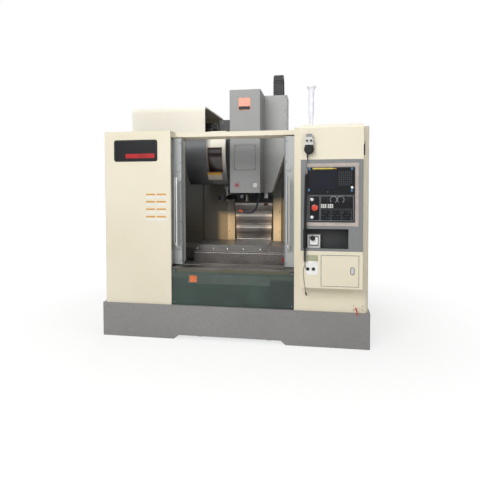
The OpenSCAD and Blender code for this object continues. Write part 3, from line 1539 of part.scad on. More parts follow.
// Electrical cabinet behind the machine with its plinth and louvres
module electrical_cabinet() {
    t = 3;
    color(cream) placed() {
        difference() {
            union() {
                block([cab_x0, cab_y0, 90], [cab_x1, cab_y1, cab_h]);
                block([cab_x0 + 40, cab_y0 + 20, 0], [cab_x1 - 40, cab_y1 - 30, 90]);
            }
            block([cab_x0 + t, cab_y0 + t, 90 + t], [cab_x1 - t, cab_y1 + 1, cab_h - t]);
            for (i = [0:9]) block([cab_x1 - 10, cab_y0 + 60, 1500 + i * 24], [cab_x1 + 1, cab_y1 - 60, 1508 + i * 24]);
        }
        // Mounting plate with a row of terminals, contactors and drives
        block([cab_x0 + 60, cab_y0 + t, 200], [cab_x1 - 60, cab_y0 + t + 12, cab_h - 120]);
        for (i = [0:3]) block([cab_x0 + 90 + i * 160, cab_y0 + 15, 1200], [cab_x0 + 220 + i * 160, cab_y0 + 190, 1560]);
        for (i = [0:8]) block([cab_x0 + 90 + i * 70, cab_y0 + 15, 900], [cab_x0 + 145 + i * 70, cab_y0 + 105, 1010]);
        // Two stiles that the door closes against
        block([cab_x0, cab_y1 - 20, 90], [cab_x0 + 30, cab_y1, cab_h]);
        block([cab_x1 - 30, cab_y1 - 20, 90], [cab_x1, cab_y1, cab_h]);
    }
}

// Cabinet door with its swing handle
module cabinet_door() {
    y0 = cab_y1 + 0.5;
    y1 = cab_y1 + cab_door_t;
    color(cream) placed() {
        difference() {
            soft_plate([cab_x0 + 4, 96], [cab_x1 - 4, cab_h - 6], 6, y0, y1);
            block([cab_x0 + 40, y0 - 1, 130], [cab_x1 - 40, y0 + 16, cab_h - 40]);
        }
        soft_plate([cab_x0 + 60, 960], [cab_x0 + 90, 1120], 8, y1, y1 + 8);
        soft_plate([cab_x0 + 66, 985], [cab_x0 + 84, 1105], 6, y1 + 8, y1 + cab_handle);
    }
}

base_tray();
levelling_feet();
bed_casting();
column_casting();
left_cover();
right_pillar();
top_rail();
front_panel();
door_sill();
rear_wall();
hood();
magazine_cover();
magazine_window();
cam_box();
operator_box();
control_fascia();
display_unit();
operator_panel();
socket_plate();
signal_tower();
electrical_cabinet();
pendant_body();
fixed_way_covers();
coil_cord();
cap_tether();
left_door();
right_door();
left_window();
right_window();
saddle();
table();
table_guards();
head_casting();
head_cover();
chain_box();
coolant_hose();
spindle();
z_cover_2();
z_cover_3();
z_cover_4();
z_cover_5();
y_cover_2();
cable_chain();
magazine_disc();
tool_pot();
atc_shaft();
atc_arm();
estop_button();
dial_1();
dial_2();
dial_3();
dial_4();
display_button();
start_button();
stop_button();
small_door();
door_latch();
pendant_wheel();
port_lever();
cabinet_door();
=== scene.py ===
"""Vertical machining centre: finishes, fine pieces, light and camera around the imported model.

Sizes are in millimetres in the front plane's frame: X to the right, Y to the back, Z up from the floor.
``place`` turns such a point into the row frame, in metres.
"""

import logging
import math
from dataclasses import dataclass
from enum import Enum
from functools import cache, partial
from itertools import product
from typing import Callable, Iterable, Mapping, Optional, Sequence

import bpy
from mathutils import Matrix, Vector


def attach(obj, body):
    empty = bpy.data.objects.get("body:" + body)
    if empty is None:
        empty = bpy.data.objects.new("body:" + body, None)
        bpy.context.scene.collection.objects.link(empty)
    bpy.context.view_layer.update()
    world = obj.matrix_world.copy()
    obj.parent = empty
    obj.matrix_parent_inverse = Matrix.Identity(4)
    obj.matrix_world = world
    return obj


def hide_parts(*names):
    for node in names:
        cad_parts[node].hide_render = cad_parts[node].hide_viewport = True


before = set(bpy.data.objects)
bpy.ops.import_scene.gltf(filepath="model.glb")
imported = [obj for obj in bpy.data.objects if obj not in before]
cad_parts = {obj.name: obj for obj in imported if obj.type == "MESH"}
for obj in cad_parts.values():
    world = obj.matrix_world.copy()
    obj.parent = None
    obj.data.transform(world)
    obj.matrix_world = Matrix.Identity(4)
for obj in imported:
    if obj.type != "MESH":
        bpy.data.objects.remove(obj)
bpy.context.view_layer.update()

log = logging.getLogger("machining_centre")

MM = 0.001
MID_Y = 942.0  # the row frame's middle, measured from the front plane

SHIFT = Vector((0, MID_Y, 0))
SHARP_ANGLE = 35.0  # edges that turn less, in degrees, are shaded smooth

Point = tuple[float, float, float]
Box = tuple[float, float, float, float]
Numbers = float | Sequence[float]
Colour = tuple[float, float, float, float]
Tree = bpy.types.NodeTree
Socket = bpy.types.NodeSocket


def place(x: float, y: float, z: float) -> Vector:
    """Turns a point in millimetres in the front plane's frame into the row frame, in metres."""
    return Vector((x, y - MID_Y, z)) * MM


def linear(code: str) -> Colour:
    """Turns an sRGB hex value such as ``E9E1CC`` into a linear colour with full alpha.

    Args:
        code: the hex value.

    Returns:
        The colour.
    """
    parts = [int(code[i : i + 2], 16) / 255 for i in (0, 2, 4)]
    low = [p / 12.92 if p <= 0.04045 else ((p + 0.055) / 1.055) ** 2.4 for p in parts]
    return (low[0], low[1], low[2], 1.0)


# Finishes


ROUGH_SPREAD = 0.06  # how far the grain moves the roughness either way
ROUGH_LEAST = 0.02
WORN_FROM, WORN_FULL = 0.995, 0.9  # cosines of an edge's turn at which wear starts and is full
WORN_SHARE = 0.55


def node_tree(owner: bpy.types.Material | bpy.types.World) -> Tree:
    """Gives the owner's node tree, emptied.

    Args:
        owner: a new material or world.

    Returns:
        The node tree.
    """
    owner.use_nodes = True
    owner.node_tree.nodes.clear()
    return owner.node_tree


def add(
    tree: Tree, kind: str, settings: Optional[Mapping] = None, links: Optional[Mapping] = None
) -> bpy.types.Node:
    """Adds a node with its settings and links.

    Args:
        tree: the material's or the world's node tree.
        kind: the node's type.
        settings: values by name; a lower-case name is an attribute, any other key is an input socket.
        links: for each input socket, the output socket that feeds it.

    Returns:
        The new node.
    """
    node = tree.nodes.new(kind)
    for key, value in (settings or {}).items():
        if isinstance(key, str) and key[0].islower():
            setattr(node, key, value)
        else:
            node.inputs[key].default_value = value
    for key, source in (links or {}).items():
        tree.links.new(source, node.inputs[key])
    return node


@dataclass(frozen=True)
class Zone:
    """A box of a piece that is finished another way, such as a rail on a painted casting, or that carries
    painted light or shade.

    Args:
        low: lowest corner, in millimetres in the front plane's frame.
        high: highest corner.
        colour: sRGB hex value there.
        roughness: roughness there.
        metallic: metallic there.
        soft: width over which it fades in from the box's faces, in millimetres.
        share: how much of it shows, 0 to 1.
    """

    low: Point
    high: Point
    colour: str
    roughness: float = 0.5
    metallic: float = 0.0
    soft: float = 0.0
    share: float = 1.0


@dataclass(frozen=True)
class Finish:
    """A material and how its surface was made.

    Args:
        name: the real material's name.
        colour: sRGB hex value of the clean surface.
        shade: sRGB hex value of its slightly darker parts.
        slot: the record's material slot of new pieces in it; not used.
        roughness: middle roughness.
        metallic: 1 for bare metal.
        cloud_mm: size of the slow changes of tone.
        grain_mm: size of the fine structure, drawn coarse enough to show.
        speckle: how strongly the grain changes the tone, 0 to 1.
        relief_mm: height of the grain.
        wear: sRGB hex value of worn edges, or None.
        edge_mm: radius that light sees on a pressed or broken edge.
        stretch: how much longer the grain is along X, Y and Z, as brushing leaves it.
        coat: weight of a clear layer.
        clear: weight of transmission.
        ior: index of refraction of what isn't metal.
        gloss: specular level, lower on matt and grained surfaces.
        glow: strength of light given off, in its own colour.
    """

    name: str
    colour: str
    shade: str
    slot: str = "machine"
    roughness: float = 0.45
    metallic: float = 0.0
    cloud_mm: float = 600.0
    grain_mm: float = 6.0
    speckle: float = 0.0
    relief_mm: float = 0.05
    wear: Optional[str] = None
    edge_mm: float = 2.0
    stretch: Point = (1.0, 1.0, 1.0)
    coat: float = 0.0
    clear: float = 0.0
    ior: float = 1.5
    gloss: float = 0.5
    glow: float = 0.0

    @cache
    def material(self, zones: tuple[Zone, ...]) -> bpy.types.Material:
        """Builds the node material once, with the zones' finishes painted over its own.

        Args:
            zones: boxes that are finished another way.

        Returns:
            The material.
        """
        made = bpy.data.materials.new(self.name)
        tree = node_tree(made)
        node = partial(add, tree)
        where = node("ShaderNodeTexCoord").outputs["Object"]
        cloud_scale, grain_scale = 1 / (self.cloud_mm * MM), 1 / (self.grain_mm * MM)
        cloud = node("ShaderNodeTexNoise", {"Scale": cloud_scale, "Detail": 2.0}, {"Vector": where})
        pulled = node("ShaderNodeMapping", {"Scale": [1 / s for s in self.stretch]}, {"Vector": where})
        noise = {"Scale": grain_scale, "Detail": 3.0, "Roughness": 0.6}
        grain = node("ShaderNodeTexNoise", noise, {"Vector": pulled.outputs[0]}).outputs["Fac"]
        tone = self._mix(tree, cloud.outputs["Fac"], linear(self.colour), linear(self.shade), (0.35, 0.7))
        if self.speckle:
            dark = (*(c * (1 - self.speckle) for c in linear(self.shade)[:3]), 1.0)
            tone = self._mix(tree, grain, dark, tone, (0.3, 0.62))
        least = max(self.roughness - ROUGH_SPREAD, ROUGH_LEAST)
        span = {"To Min": least, "To Max": min(self.roughness + ROUGH_SPREAD, 1.0)}
        rough = node("ShaderNodeMapRange", span, {"Value": grain}).outputs["Result"]
        shine = self.metallic
        for zone in zones:
            mask = self._inside(tree, where, zone)
            tone = self._mix(tree, mask, tone, linear(zone.colour))
            rough = self._blend(tree, mask, rough, zone.roughness)
            if zone.metallic != self.metallic or not isinstance(shine, float):
                shine = self._blend(tree, mask, shine, zone.metallic)
        round_edge = node("ShaderNodeBevel", {"samples": 4, "Radius": self.edge_mm * MM}).outputs[0]
        if self.wear:
            facing = node("ShaderNodeNewGeometry").outputs["Normal"]
            turn = node("ShaderNodeVectorMath", {"operation": "DOT_PRODUCT"}, {0: facing, 1: round_edge})
            span = {"From Min": WORN_FROM, "From Max": WORN_FULL, "To Min": 0.0, "To Max": WORN_SHARE}
            worn = node("ShaderNodeMapRange", span, {"Value": turn.outputs["Value"]}).outputs[0]
            tone = self._mix(tree, worn, tone, linear(self.wear))
        bump = {"Strength": 0.5, "Distance": self.relief_mm * MM}
        relief = node("ShaderNodeBump", bump, {"Height": grain, "Normal": round_edge}).outputs[0]
        settings = {
            "Coat Weight": self.coat, "Coat Roughness": 0.08, "Transmission Weight": self.clear,
            "Specular IOR Level": self.gloss,
        }
        links = {"Base Color": tone, "Roughness": rough, "Normal": relief}
        (settings if isinstance(shine, float) else links)["Metallic"] = shine
        if not self.metallic:
            settings["IOR"] = self.ior
        if self.glow:
            settings |= {"Emission Color": linear(self.colour), "Emission Strength": self.glow}
        shader = node("ShaderNodeBsdfPrincipled", settings, links).outputs[0]
        node("ShaderNodeOutputMaterial", None, {"Surface": shader})
        return made

    @staticmethod
    def _mix(
        tree: Tree, factor: Socket, first: Colour | Socket, second: Colour | Socket,
        span: tuple[float, float] = (0.0, 1.0),
    ) -> Socket:
        """Mixes two colours as the factor crosses the span.

        Args:
            tree: node tree.
            factor: socket that gives the factor.
            first: colour below the span.
            second: colour above the span.
            span: where the change starts and ends.

        Returns:
            The socket that gives the mixed colour.
        """
        if span != (0.0, 1.0):
            ends = {"From Min": span[0], "From Max": span[1]}
            factor = add(tree, "ShaderNodeMapRange", ends, {"Value": factor}).outputs["Result"]
        settings, links = {"data_type": "RGBA"}, {0: factor}
        for key, value in ((6, first), (7, second)):
            (links if isinstance(value, Socket) else settings)[key] = value
        return add(tree, "ShaderNodeMix", settings, links).outputs[2]

    @staticmethod
    def _blend(tree: Tree, mask: Socket, outside: float | Socket, inside: float) -> Socket:
        """Gives the inside number where the mask is 1, and the outside one elsewhere.

        Args:
            tree: node tree.
            mask: socket that gives the mask.
            outside: number, or socket that gives it.
            inside: number.

        Returns:
            The socket that gives the number.
        """
        settings, links = {3: inside}, {0: mask}
        (links if isinstance(outside, Socket) else settings)[2] = outside
        return add(tree, "ShaderNodeMix", settings, links).outputs[0]

    @staticmethod
    def _inside(tree: Tree, where: Socket, zone: Zone) -> Socket:
        """Gives 1 inside the zone's box and 0 outside it.

        Args:
            tree: node tree.
            where: socket with the object's own coordinates.
            zone: the box.

        Returns:
            The mask's socket.
        """
        low, high = place(*zone.low), place(*zone.high)
        vector = "ShaderNodeVectorMath"
        away = add(tree, vector, {"operation": "SUBTRACT", 1: (low + high) / 2}, {0: where})
        size = add(tree, vector, {"operation": "ABSOLUTE"}, {0: away.outputs[0]})
        past = add(tree, vector, {"operation": "SUBTRACT", 1: (high - low) / 2}, {0: size.outputs[0]})
        parts = add(tree, "ShaderNodeSeparateXYZ", None, {0: past.outputs[0]})
        most = parts.outputs[0]
        for other in parts.outputs[1:]:
            most = add(tree, "ShaderNodeMath", {"operation": "MAXIMUM"}, {0: most, 1: other}).outputs[0]
        fade = {"From Min": 0.0, "From Max": -max(zone.soft, 0.05) * MM, "To Max": zone.share}
        return add(tree, "ShaderNodeMapRange", fade, {"Value": most}).outputs["Result"]


# Powder-coated sheet: even and satin, with a faint orange-peel surface.
powder = partial(Finish, roughness=0.42, cloud_mm=900, grain_mm=5)
CREAM = powder("cream_powder_coat", "EBE3CE", "E4DBC3", cloud_mm=1100, wear="F6F2E6")
HOOD_CREAM = powder("pale_cream_powder_coat", "F3EEDF", "EEE8D6", wear="FBF9F2")
CABINET = powder("cabinet_powder_coat", "E6DFCB", "DED6C0", roughness=0.45, wear="F2EEDF")
# Structured paint on thick sheet: satin grey with a fine fleck.
flecked = partial(Finish, slot="grey_steel", roughness=0.44, cloud_mm=500, grain_mm=9, speckle=0.1)
GREY = flecked("grey_structured_paint", "A4A4A2", "9A9A99", wear="B6B6B4")
# A lit copy of the head's grey for the chain box: painted lighter to make up for the shade it stands in.
CHAIN_GREY = flecked("lit_copy_grey_structured_paint", "B7B7B5", "ADADAB", wear="C6C6C4")
BASE_GREY = flecked(
    "base_structured_paint", "93918F", "898887", roughness=0.5, cloud_mm=700, grain_mm=11, speckle=0.12,
    wear="A9A8A6",
)
# Satin paint and enamel: the same sheet with hardly any fleck.
satin = partial(Finish, slot="grey_steel", roughness=0.42, cloud_mm=500, grain_mm=6, speckle=0.05)
DOOR_GREY = satin("door_satin_paint", "C0C4C3", "B6BABA", cloud_mm=700, speckle=0.04, wear="B9BBB9")
FASCIA_GREY = satin("fascia_satin_paint", "868787", "7E8080", wear="A2A4A5")
# The inner walls are cream; this dark grey is painted shade.
WALL = satin("painted_shade_wall_grey", "747674", "676968", roughness=0.5, grain_mm=7, speckle=0.06, wear="6A6B6A")
# Clear-coated sheet: deep green with mirror-like highlights.
GREEN = Finish(
    "green_clear_coated_sheet", "263F36", "182C26", roughness=0.2, cloud_mm=260, grain_mm=7, relief_mm=0.01,
    coat=0.5, stretch=(1, 1, 6),
)
# Sand-cast iron under machine enamel: soft bumps that the paint rounds off.
CAST = Finish(
    "painted_cast_iron", "868A87", "7A7E7C", roughness=0.5, cloud_mm=300, grain_mm=16, speckle=0.08,
    relief_mm=0.5, wear="9A9D9A",
)
# Brushed and oily sheet steel: long fine lines along the fold.
STAINLESS = Finish(
    "brushed_stainless_sheet", "8F8A86", "5C5753", roughness=0.34, metallic=1.0, cloud_mm=240, grain_mm=3,
    speckle=0.18, relief_mm=0.02, stretch=(40, 1, 1), edge_mm=1.5,
)
SMOKED_SHEET = Finish(
    "oily_sheet_steel", "8B8683", "6E6966", roughness=0.42, metallic=0.55, cloud_mm=200, grain_mm=6,
    speckle=0.14, stretch=(14, 1, 1), wear="C9C6C2",
)
# Ground, scraped and plated steel: bright, with fine lines where a tool has run over it.
bright = partial(Finish, slot="bright_steel", metallic=1.0, cloud_mm=40, grain_mm=3, relief_mm=0.01)
GROUND = bright(
    "ground_steel", "8E8D8B", "757472", roughness=0.3, cloud_mm=160, grain_mm=2.5, speckle=0.12,
    stretch=(1, 12, 1),
)
LIP = bright(
    "scraped_steel_lip", "E2DED9", "A59E97", roughness=0.26, cloud_mm=70, grain_mm=4, speckle=0.2,
    stretch=(20, 1, 1),
)
POLISHED = bright("chromed_tube", "E2E3E5", "D2D4D7", roughness=0.08, cloud_mm=120, relief_mm=0.0)
GALVANISED = bright("zinc_plated_steel", "B4B6B8", "A2A5A7", roughness=0.32, speckle=0.1, edge_mm=0.8)
BRIGHT_SCREW = bright("nickel_plated_steel", "E6E6E4", "DADAD8", roughness=0.25, edge_mm=0.8)
# Black oxide: dark and half metallic, rubbed bare on its edges.
BLACKENED = Finish(
    "black_oxide_steel", "2C2D2F", "232426", slot="dark_steel", roughness=0.4, metallic=0.7, cloud_mm=90,
    grain_mm=3, speckle=0.15, wear="6B6C6E", edge_mm=1.0,
)
# Satin lacquer and anodising: the metal's own gloss is gone.
HANDLE = bright(
    "satin_handle_flange", "B0B4B4", "A6AAAA", roughness=0.42, metallic=0.0, cloud_mm=120, relief_mm=0.0,
    edge_mm=1.0,
)
BRIGHT_STRIP = bright(
    "anodised_strip", "B9BDBF", "ADB1B4", roughness=0.5, metallic=0.0, cloud_mm=300, grain_mm=4,
    stretch=(1, 1, 20),
)
# Moulded plastics: fine spark-eroded grain.
dark = partial(Finish, slot="abs_dark", grain_mm=1.5, speckle=0.1)
ABS_BLACK = dark("moulded_black_abs", "141516", "0F1011", roughness=0.42, cloud_mm=80, edge_mm=1.2, gloss=0.3)
ABS_DARK = dark(
    "moulded_dark_abs", "17181B", "121316", roughness=0.45, cloud_mm=90, wear="3A3C40", edge_mm=1.0, gloss=0.2
)
pale = partial(Finish, slot="abs_light", cloud_mm=60, grain_mm=1.5)
ABS_LIGHT = pale("moulded_light_abs", "DAD9D3", "CFCEC8", roughness=0.4, relief_mm=0.04, edge_mm=1.5)
ABS_WHITE = pale("moulded_white_abs", "F2F2EE", "E9E9E4", roughness=0.35, relief_mm=0.03, edge_mm=1.0)
moulded = partial(Finish, cloud_mm=40, grain_mm=1.5, relief_mm=0.02)
ABS_RED = moulded("moulded_red_abs", "D2452F", "BC3726", slot="abs_red", roughness=0.3, coat=0.3, edge_mm=1.5)
ABS_BLUE = moulded("moulded_blue_plastic", "4F86B8", "43779F", slot="abs_dark", roughness=0.35)
ACETAL = moulded("dark_blue_acetal", "22303F", "1A2530", roughness=0.3, grain_mm=2, edge_mm=1.0)
# Nylon, soft PVC and rubber: matt and faintly grained.
NYLON = Finish(
    "black_glass_filled_nylon", "3F3D3D", "302F30", slot="nylon", roughness=0.5, cloud_mm=60, grain_mm=2,
    speckle=0.2, wear="9A9590", edge_mm=1.8,
)
soft = partial(Finish, slot="pvc", grain_mm=2, speckle=0.1)
PVC = soft("soft_black_pvc", "141416", "0F0F11", roughness=0.45, cloud_mm=50)
RUBBER = soft("black_rubber_seal", "1D1D1E", "161617", roughness=0.6, cloud_mm=60)
# Printed foil and lacquer: even colour, under a thin gloss layer on the orange one.
foil = partial(Finish, slot="abs_light", roughness=0.35, cloud_mm=50, grain_mm=3, relief_mm=0.01)
FOIL_BLACK = foil(
    "black_printed_foil", "141418", "0E0E12", slot="abs_dark", roughness=0.4, cloud_mm=120, gloss=0.25
)
FOIL_RED = foil("red_printed_foil", "B5262A", "9E1F24", slot="abs_red", roughness=0.4, cloud_mm=60, gloss=0.3)
FOIL_ORANGE = foil(
    "orange_printed_foil", "E0763E", "D2662F", slot="abs_red", roughness=0.3, cloud_mm=60, coat=0.4
)
FOIL_AMBER = foil("amber_printed_foil", "DCA64B", "CF983D")
FOIL_WHITE = foil("white_printed_foil", "F0ECE2", "E6E1D5")
FOIL_YELLOW = foil("yellow_printed_foil", "D8C55A", "C7B24C")
FOIL_GREEN = foil("grey_green_translucent_film", "4C5852", "434F49", cloud_mm=90)
DARK_RED = foil("dark_red_lacquer", "6E2A26", "5A211E", slot="abs_red", roughness=0.4, cloud_mm=40)
# Screen print on the key fields: matt, with the screen's own grain.
printed = partial(Finish, slot="abs_dark", roughness=0.45, cloud_mm=40, grain_mm=2, relief_mm=0.01)
FRAME_PRINT = printed("grey_frame_print", "6A6D72", "5E6166")
KEY_GREY = printed("grey_key_print", "3A3C41", "33353A")
LEGEND = printed("pale_key_print", "C4C6C9", "B4B6BA", slot="abs_light")
# Creped paper tape: fine wrinkles across its length.
MASKING = Finish(
    "creped_masking_tape", "CBC0B9", "B5A69D", slot="abs_light", roughness=0.7, cloud_mm=60, grain_mm=4,
    speckle=0.15, relief_mm=0.15, stretch=(1, 1, 3),
)
# Clear and tinted sheet: light passes and the edges darken.
glazing = partial(Finish, relief_mm=0.0)
POLYCARBONATE = glazing(
    "clear_polycarbonate", "E9F0EE", "E1EAE7", roughness=0.06, cloud_mm=400, grain_mm=30, clear=1.0, ior=1.58
)
SMOKED_ACRYLIC = glazing(
    "dark_red_acrylic", "2A1210", "1B0B0A", roughness=0.12, cloud_mm=120, grain_mm=10, coat=0.8
)
MILKY = glazing(
    "milky_acrylic", "ECEDF5", "DFE1EC", slot="acrylic_milk", roughness=0.25, cloud_mm=60, grain_mm=6,
    clear=0.15, glow=0.12,
)


# Modelling


class Facing(Enum):
    """The way that a small fastener's head looks."""

    FRONT = (0.0, -1.0, 0.0)
    BACK = (0.0, 1.0, 0.0)
    LEFT = (-1.0, 0.0, 0.0)
    RIGHT = (1.0, 0.0, 0.0)
    UP = (0.0, 0.0, 1.0)


def about(centre: Point, angle: float, axis: str) -> Matrix:
    """Gives a turn by an angle in degrees about an axis through a point in millimetres."""
    middle = Matrix.Translation(place(*centre))
    return middle @ Matrix.Rotation(math.radians(angle), 4, axis) @ middle.inverted()


class Piece:
    """One new piece: a primitive that edit-mode operators shape, in millimetres.

    Args:
        name: the piece's name.
        obj: its object, at the origin with its place in its mesh.
    """

    def __init__(self, name: str, obj: bpy.types.Object) -> None:
        """Names the object and its mesh."""
        self.obj = obj
        obj.name = obj.data.name = name

    @staticmethod
    def unselect() -> None:
        """Leaves edit mode and selects nothing."""
        if bpy.context.object and bpy.context.object.mode != "OBJECT":
            bpy.ops.object.mode_set(mode="OBJECT")
        bpy.ops.object.select_all(action="DESELECT")

    @classmethod
    def started(cls, name: str) -> "Piece":
        """Takes over the primitive that was just added, with its place in its mesh."""
        bpy.ops.object.transform_apply(location=True, rotation=True, scale=True)
        return cls(name, bpy.context.object)

    @classmethod
    def block(cls, name: str, low: Point, high: Point) -> "Piece":
        """Starts a piece from a cube between two corners.

        Args:
            name: the piece's name.
            low: lowest corner.
            high: highest corner.

        Returns:
            The piece.
        """
        cls.unselect()
        a, b = place(*low), place(*high)
        bpy.ops.mesh.primitive_cube_add(size=1, location=(a + b) / 2)
        bpy.context.object.scale = b - a
        return cls.started(name)

    @classmethod
    def rod(cls, name: str, start: Point, end: Point, diameter: float, sides: int = 32) -> "Piece":
        """Starts a piece from a cylinder between two points.

        Args:
            name: the piece's name.
            start: middle of one end.
            end: middle of the other end.
            diameter: its diameter.
            sides: facets round it.

        Returns:
            The piece.
        """
        cls.unselect()
        a, b = place(*start), place(*end)
        turn = (b - a).to_track_quat("Z", "Y").to_euler()
        bpy.ops.mesh.primitive_cylinder_add(
            vertices=sides, radius=diameter / 2 * MM, depth=(b - a).length, location=(a + b) / 2,
            rotation=turn,
        )
        return cls.started(name)

    @classmethod
    def pin(
        cls, name: str, start: Point, end: Point, diameter: float, edge: float, steps: int = 2,
        sides: int = 24,
    ) -> "Piece":
        """Starts a rod with both its rims rounded.

        Args:
            name: the piece's name.
            start: middle of one end.
            end: middle of the other end.
            diameter: its diameter.
            edge: width of the rounding.
            steps: facets of the rounding.
            sides: facets round the rod.

        Returns:
            The piece.
        """
        axis = (Vector(end) - Vector(start)).normalized()
        made = cls.rod(name, start, end, diameter, sides)
        return made.rims(lambda mid, run: abs(run.dot(axis)) < 0.5).bevel(edge, steps)

    @classmethod
    def turned(
        cls, name: str, start: Point, end: Point, diameter: float, steps: Sequence[tuple[float, float]],
        sides: int = 24, way: Optional[Point] = None,
    ) -> "Piece":
        """Starts a rod and goes on from its end as a lathe would.

        Args:
            name: the piece's name.
            start: middle of the first end.
            end: middle of the end that goes on.
            diameter: the rod's diameter.
            steps: the next diameters, each with the length over which it is reached.
            sides: facets round the rod.
            way: direction in which it goes on, or None for the rod's own.

        Returns:
            The piece.
        """
        axis = (Vector(end) - Vector(start)).normalized()
        made = cls.rod(name, start, end, diameter, sides).faces(lambda mid, normal: normal.dot(axis) > 0.9)
        for wide, length in steps:
            made.extrude(*(Vector(way or axis) * length))
            if wide != diameter:
                ratio = wide / diameter
                bpy.ops.transform.resize(value=(ratio, ratio, ratio), center_override=made._middle())
            diameter = wide
        return made

    def _pick(self, kind: str, chosen: Sequence[bool]) -> "Piece":
        """Selects faces or edges in object mode and goes back to edit mode.

        Args:
            kind: FACE or EDGE.
            chosen: whether each is selected, in the mesh's order.

        Returns:
            The piece.
        """
        mesh = self.obj.data
        for parts in (mesh.vertices, mesh.edges, mesh.polygons):
            parts.foreach_set("select", [False] * len(parts))
        (mesh.polygons if kind == "FACE" else mesh.edges).foreach_set("select", chosen)
        bpy.ops.object.mode_set(mode="EDIT")
        bpy.ops.mesh.select_mode(type=kind)
        return self

    def faces(self, test: Callable[[Vector, Vector], bool]) -> "Piece":
        """Selects the faces for which test(centre in millimetres, normal) is true.

        Args:
            test: the test.

        Returns:
            The piece.
        """
        self._to_object()
        polygons = self.obj.data.polygons
        return self._pick("FACE", [bool(test(p.center / MM + SHIFT, p.normal)) for p in polygons])

    def rims(self, test: Callable[[Vector, Vector], bool]) -> "Piece":
        """Selects the edges for which test(middle in millimetres, direction) is true.

        Args:
            test: the test.

        Returns:
            The piece.
        """
        self._to_object()
        spots = self.obj.data.vertices
        ends = [[spots[v].co for v in edge.vertices] for edge in self.obj.data.edges]
        chosen = [bool(test((a + b) / 2 / MM + SHIFT, (b - a).normalized())) for a, b in ends]
        return self._pick("EDGE", chosen)

    def _to_object(self) -> None:
        """Goes to object mode with this piece active and selected."""
        self.unselect()
        bpy.context.view_layer.objects.active = self.obj
        self.obj.select_set(True)

    def bevel(self, width: float, segments: int = 2) -> "Piece":
        """Rounds the selected edges."""
        bpy.ops.mesh.bevel(offset=width * MM, segments=segments, affect="EDGES", clamp_overlap=True)
        return self

    def inset(self, width: float) -> "Piece":
        """Insets the selected faces."""
        bpy.ops.mesh.inset(thickness=width * MM)
        return self

    def extrude(self, x: float, y: float, z: float) -> "Piece":
        """Pulls the selected faces along a way."""
        bpy.ops.mesh.extrude_region_move(TRANSFORM_OT_translate={"value": (x * MM, y * MM, z * MM)})
        return self

    def resize(self, x: float, y: float, z: float, about_point: Point) -> "Piece":
        """Scales what is selected about a point."""
        bpy.ops.transform.resize(value=(x, y, z), center_override=place(*about_point))
        return self

    def _middle(self) -> Vector:
        """Gives the middle of the selected vertices, in metres.

        Returns:
            The middle.
        """
        bpy.ops.object.mode_set(mode="OBJECT")
        chosen = [v.co for v in self.obj.data.vertices if v.select]
        bpy.ops.object.mode_set(mode="EDIT")
        return sum(chosen, Vector()) / max(len(chosen), 1)

    def _copy(self, moves: Iterable[Matrix]) -> "Piece":
        """Copies the shape by each move, each copy with its own mesh, and joins them.

        Args:
            moves: where each copy goes.

        Returns:
            The piece.
        """
        self._to_object()
        for move in moves:
            twin = self.obj.copy()
            twin.data = self.obj.data.copy()
            twin.data.transform(move)
            bpy.context.scene.collection.objects.link(twin)
            twin.select_set(True)
        bpy.ops.object.join()
        return self

    def repeat(self, offsets: Iterable[Point]) -> "Piece":
        """Copies the shape to each offset."""
        return self._copy(Matrix.Translation(Vector(offset) * MM) for offset in offsets)

    def repeat_round(self, count: int, centre: Point, angle: float = 360.0, axis: str = "Y") -> "Piece":
        """Copies the shape around an axis, evenly over the angle."""
        return self._copy(about(centre, angle * i / count, axis) for i in range(1, count))

    def dress(self, body: str, finish: Finish, slot: str = "") -> bpy.types.Object:
        """Shades the piece smooth except at its sharp edges, and gives it its finish and body.

        Args:
            body: the CAD body that it rides on.
            finish: its finish.

        Returns:
            The finished object.
        """
        self._to_object()
        bpy.ops.object.shade_smooth_by_angle(angle=math.radians(SHARP_ANGLE))
        return dress(self.obj, body, finish)


def dress(
    obj: bpy.types.Object, body: str, finish: Finish, replaces: Sequence[str] = ()
) -> bpy.types.Object:
    """Gives an object its finish and body, and reports it.

    Args:
        obj: the finished object.
        body: the CAD body that it rides on.
        finish: its finish.
        replaces: CAD nodes that it stands for.

    Returns:
        The object.
    """
    obj.data.materials.clear()
    obj.data.materials.append(finish.material(()))
    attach(obj, body)
    if replaces:
        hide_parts(*replaces)
    log.info("%s rides on %s in %s", obj.name, body, finish.name)
    return obj


def run(first: float, step: float, count: int) -> list[float]:
    """Gives evenly spaced numbers."""
    return [first + i * step for i in range(count)]


HEAD_SHARE = 0.42  # a button head's height, as a share of its diameter
RECESS_SHARE = 0.16  # width of the rim round its recess, as a share of its diameter
SUNK = 0.6  # how far a fastener starts below the surface


def screws(
    name: str, xs: Numbers, ys: Numbers, zs: Numbers, facing: Facing, diameter: float, body: str = "machine",
    finish: Finish = GALVANISED, more: Sequence[Point] = (),
) -> None:
    """Models one button-head screw with its hexagon recess and copies it over a lattice.

    Args:
        name: the piece's name.
        xs: where the heads sit along X.
        ys: where they sit along Y.
        zs: where they sit along Z.
        facing: the way the heads look.
        diameter: diameter of a head.
        body: the CAD body that they ride on.
        finish: finish of the heads.
        more: further places beside the lattice.
    """
    places = [*product(*(n if isinstance(n, Sequence) else (n,) for n in (xs, ys, zs))), *more]
    way, first = Vector(facing.value), Vector(places[0])
    high = HEAD_SHARE * diameter
    made = Piece.rod(name, tuple(first - way * SUNK), tuple(first + way * high), diameter, 18)
    made.rims(lambda mid, line: (mid - first).dot(way) > high - 0.1 and abs(line.dot(way)) < 0.1)
    made.bevel(high * 0.5).faces(lambda mid, normal: normal.dot(way) > 0.9)
    made.inset(diameter * RECESS_SHARE).extrude(*(-way * high * 0.55))
    made.repeat([tuple(Vector(spot) - first) for spot in places[1:]]).dress(body, finish)


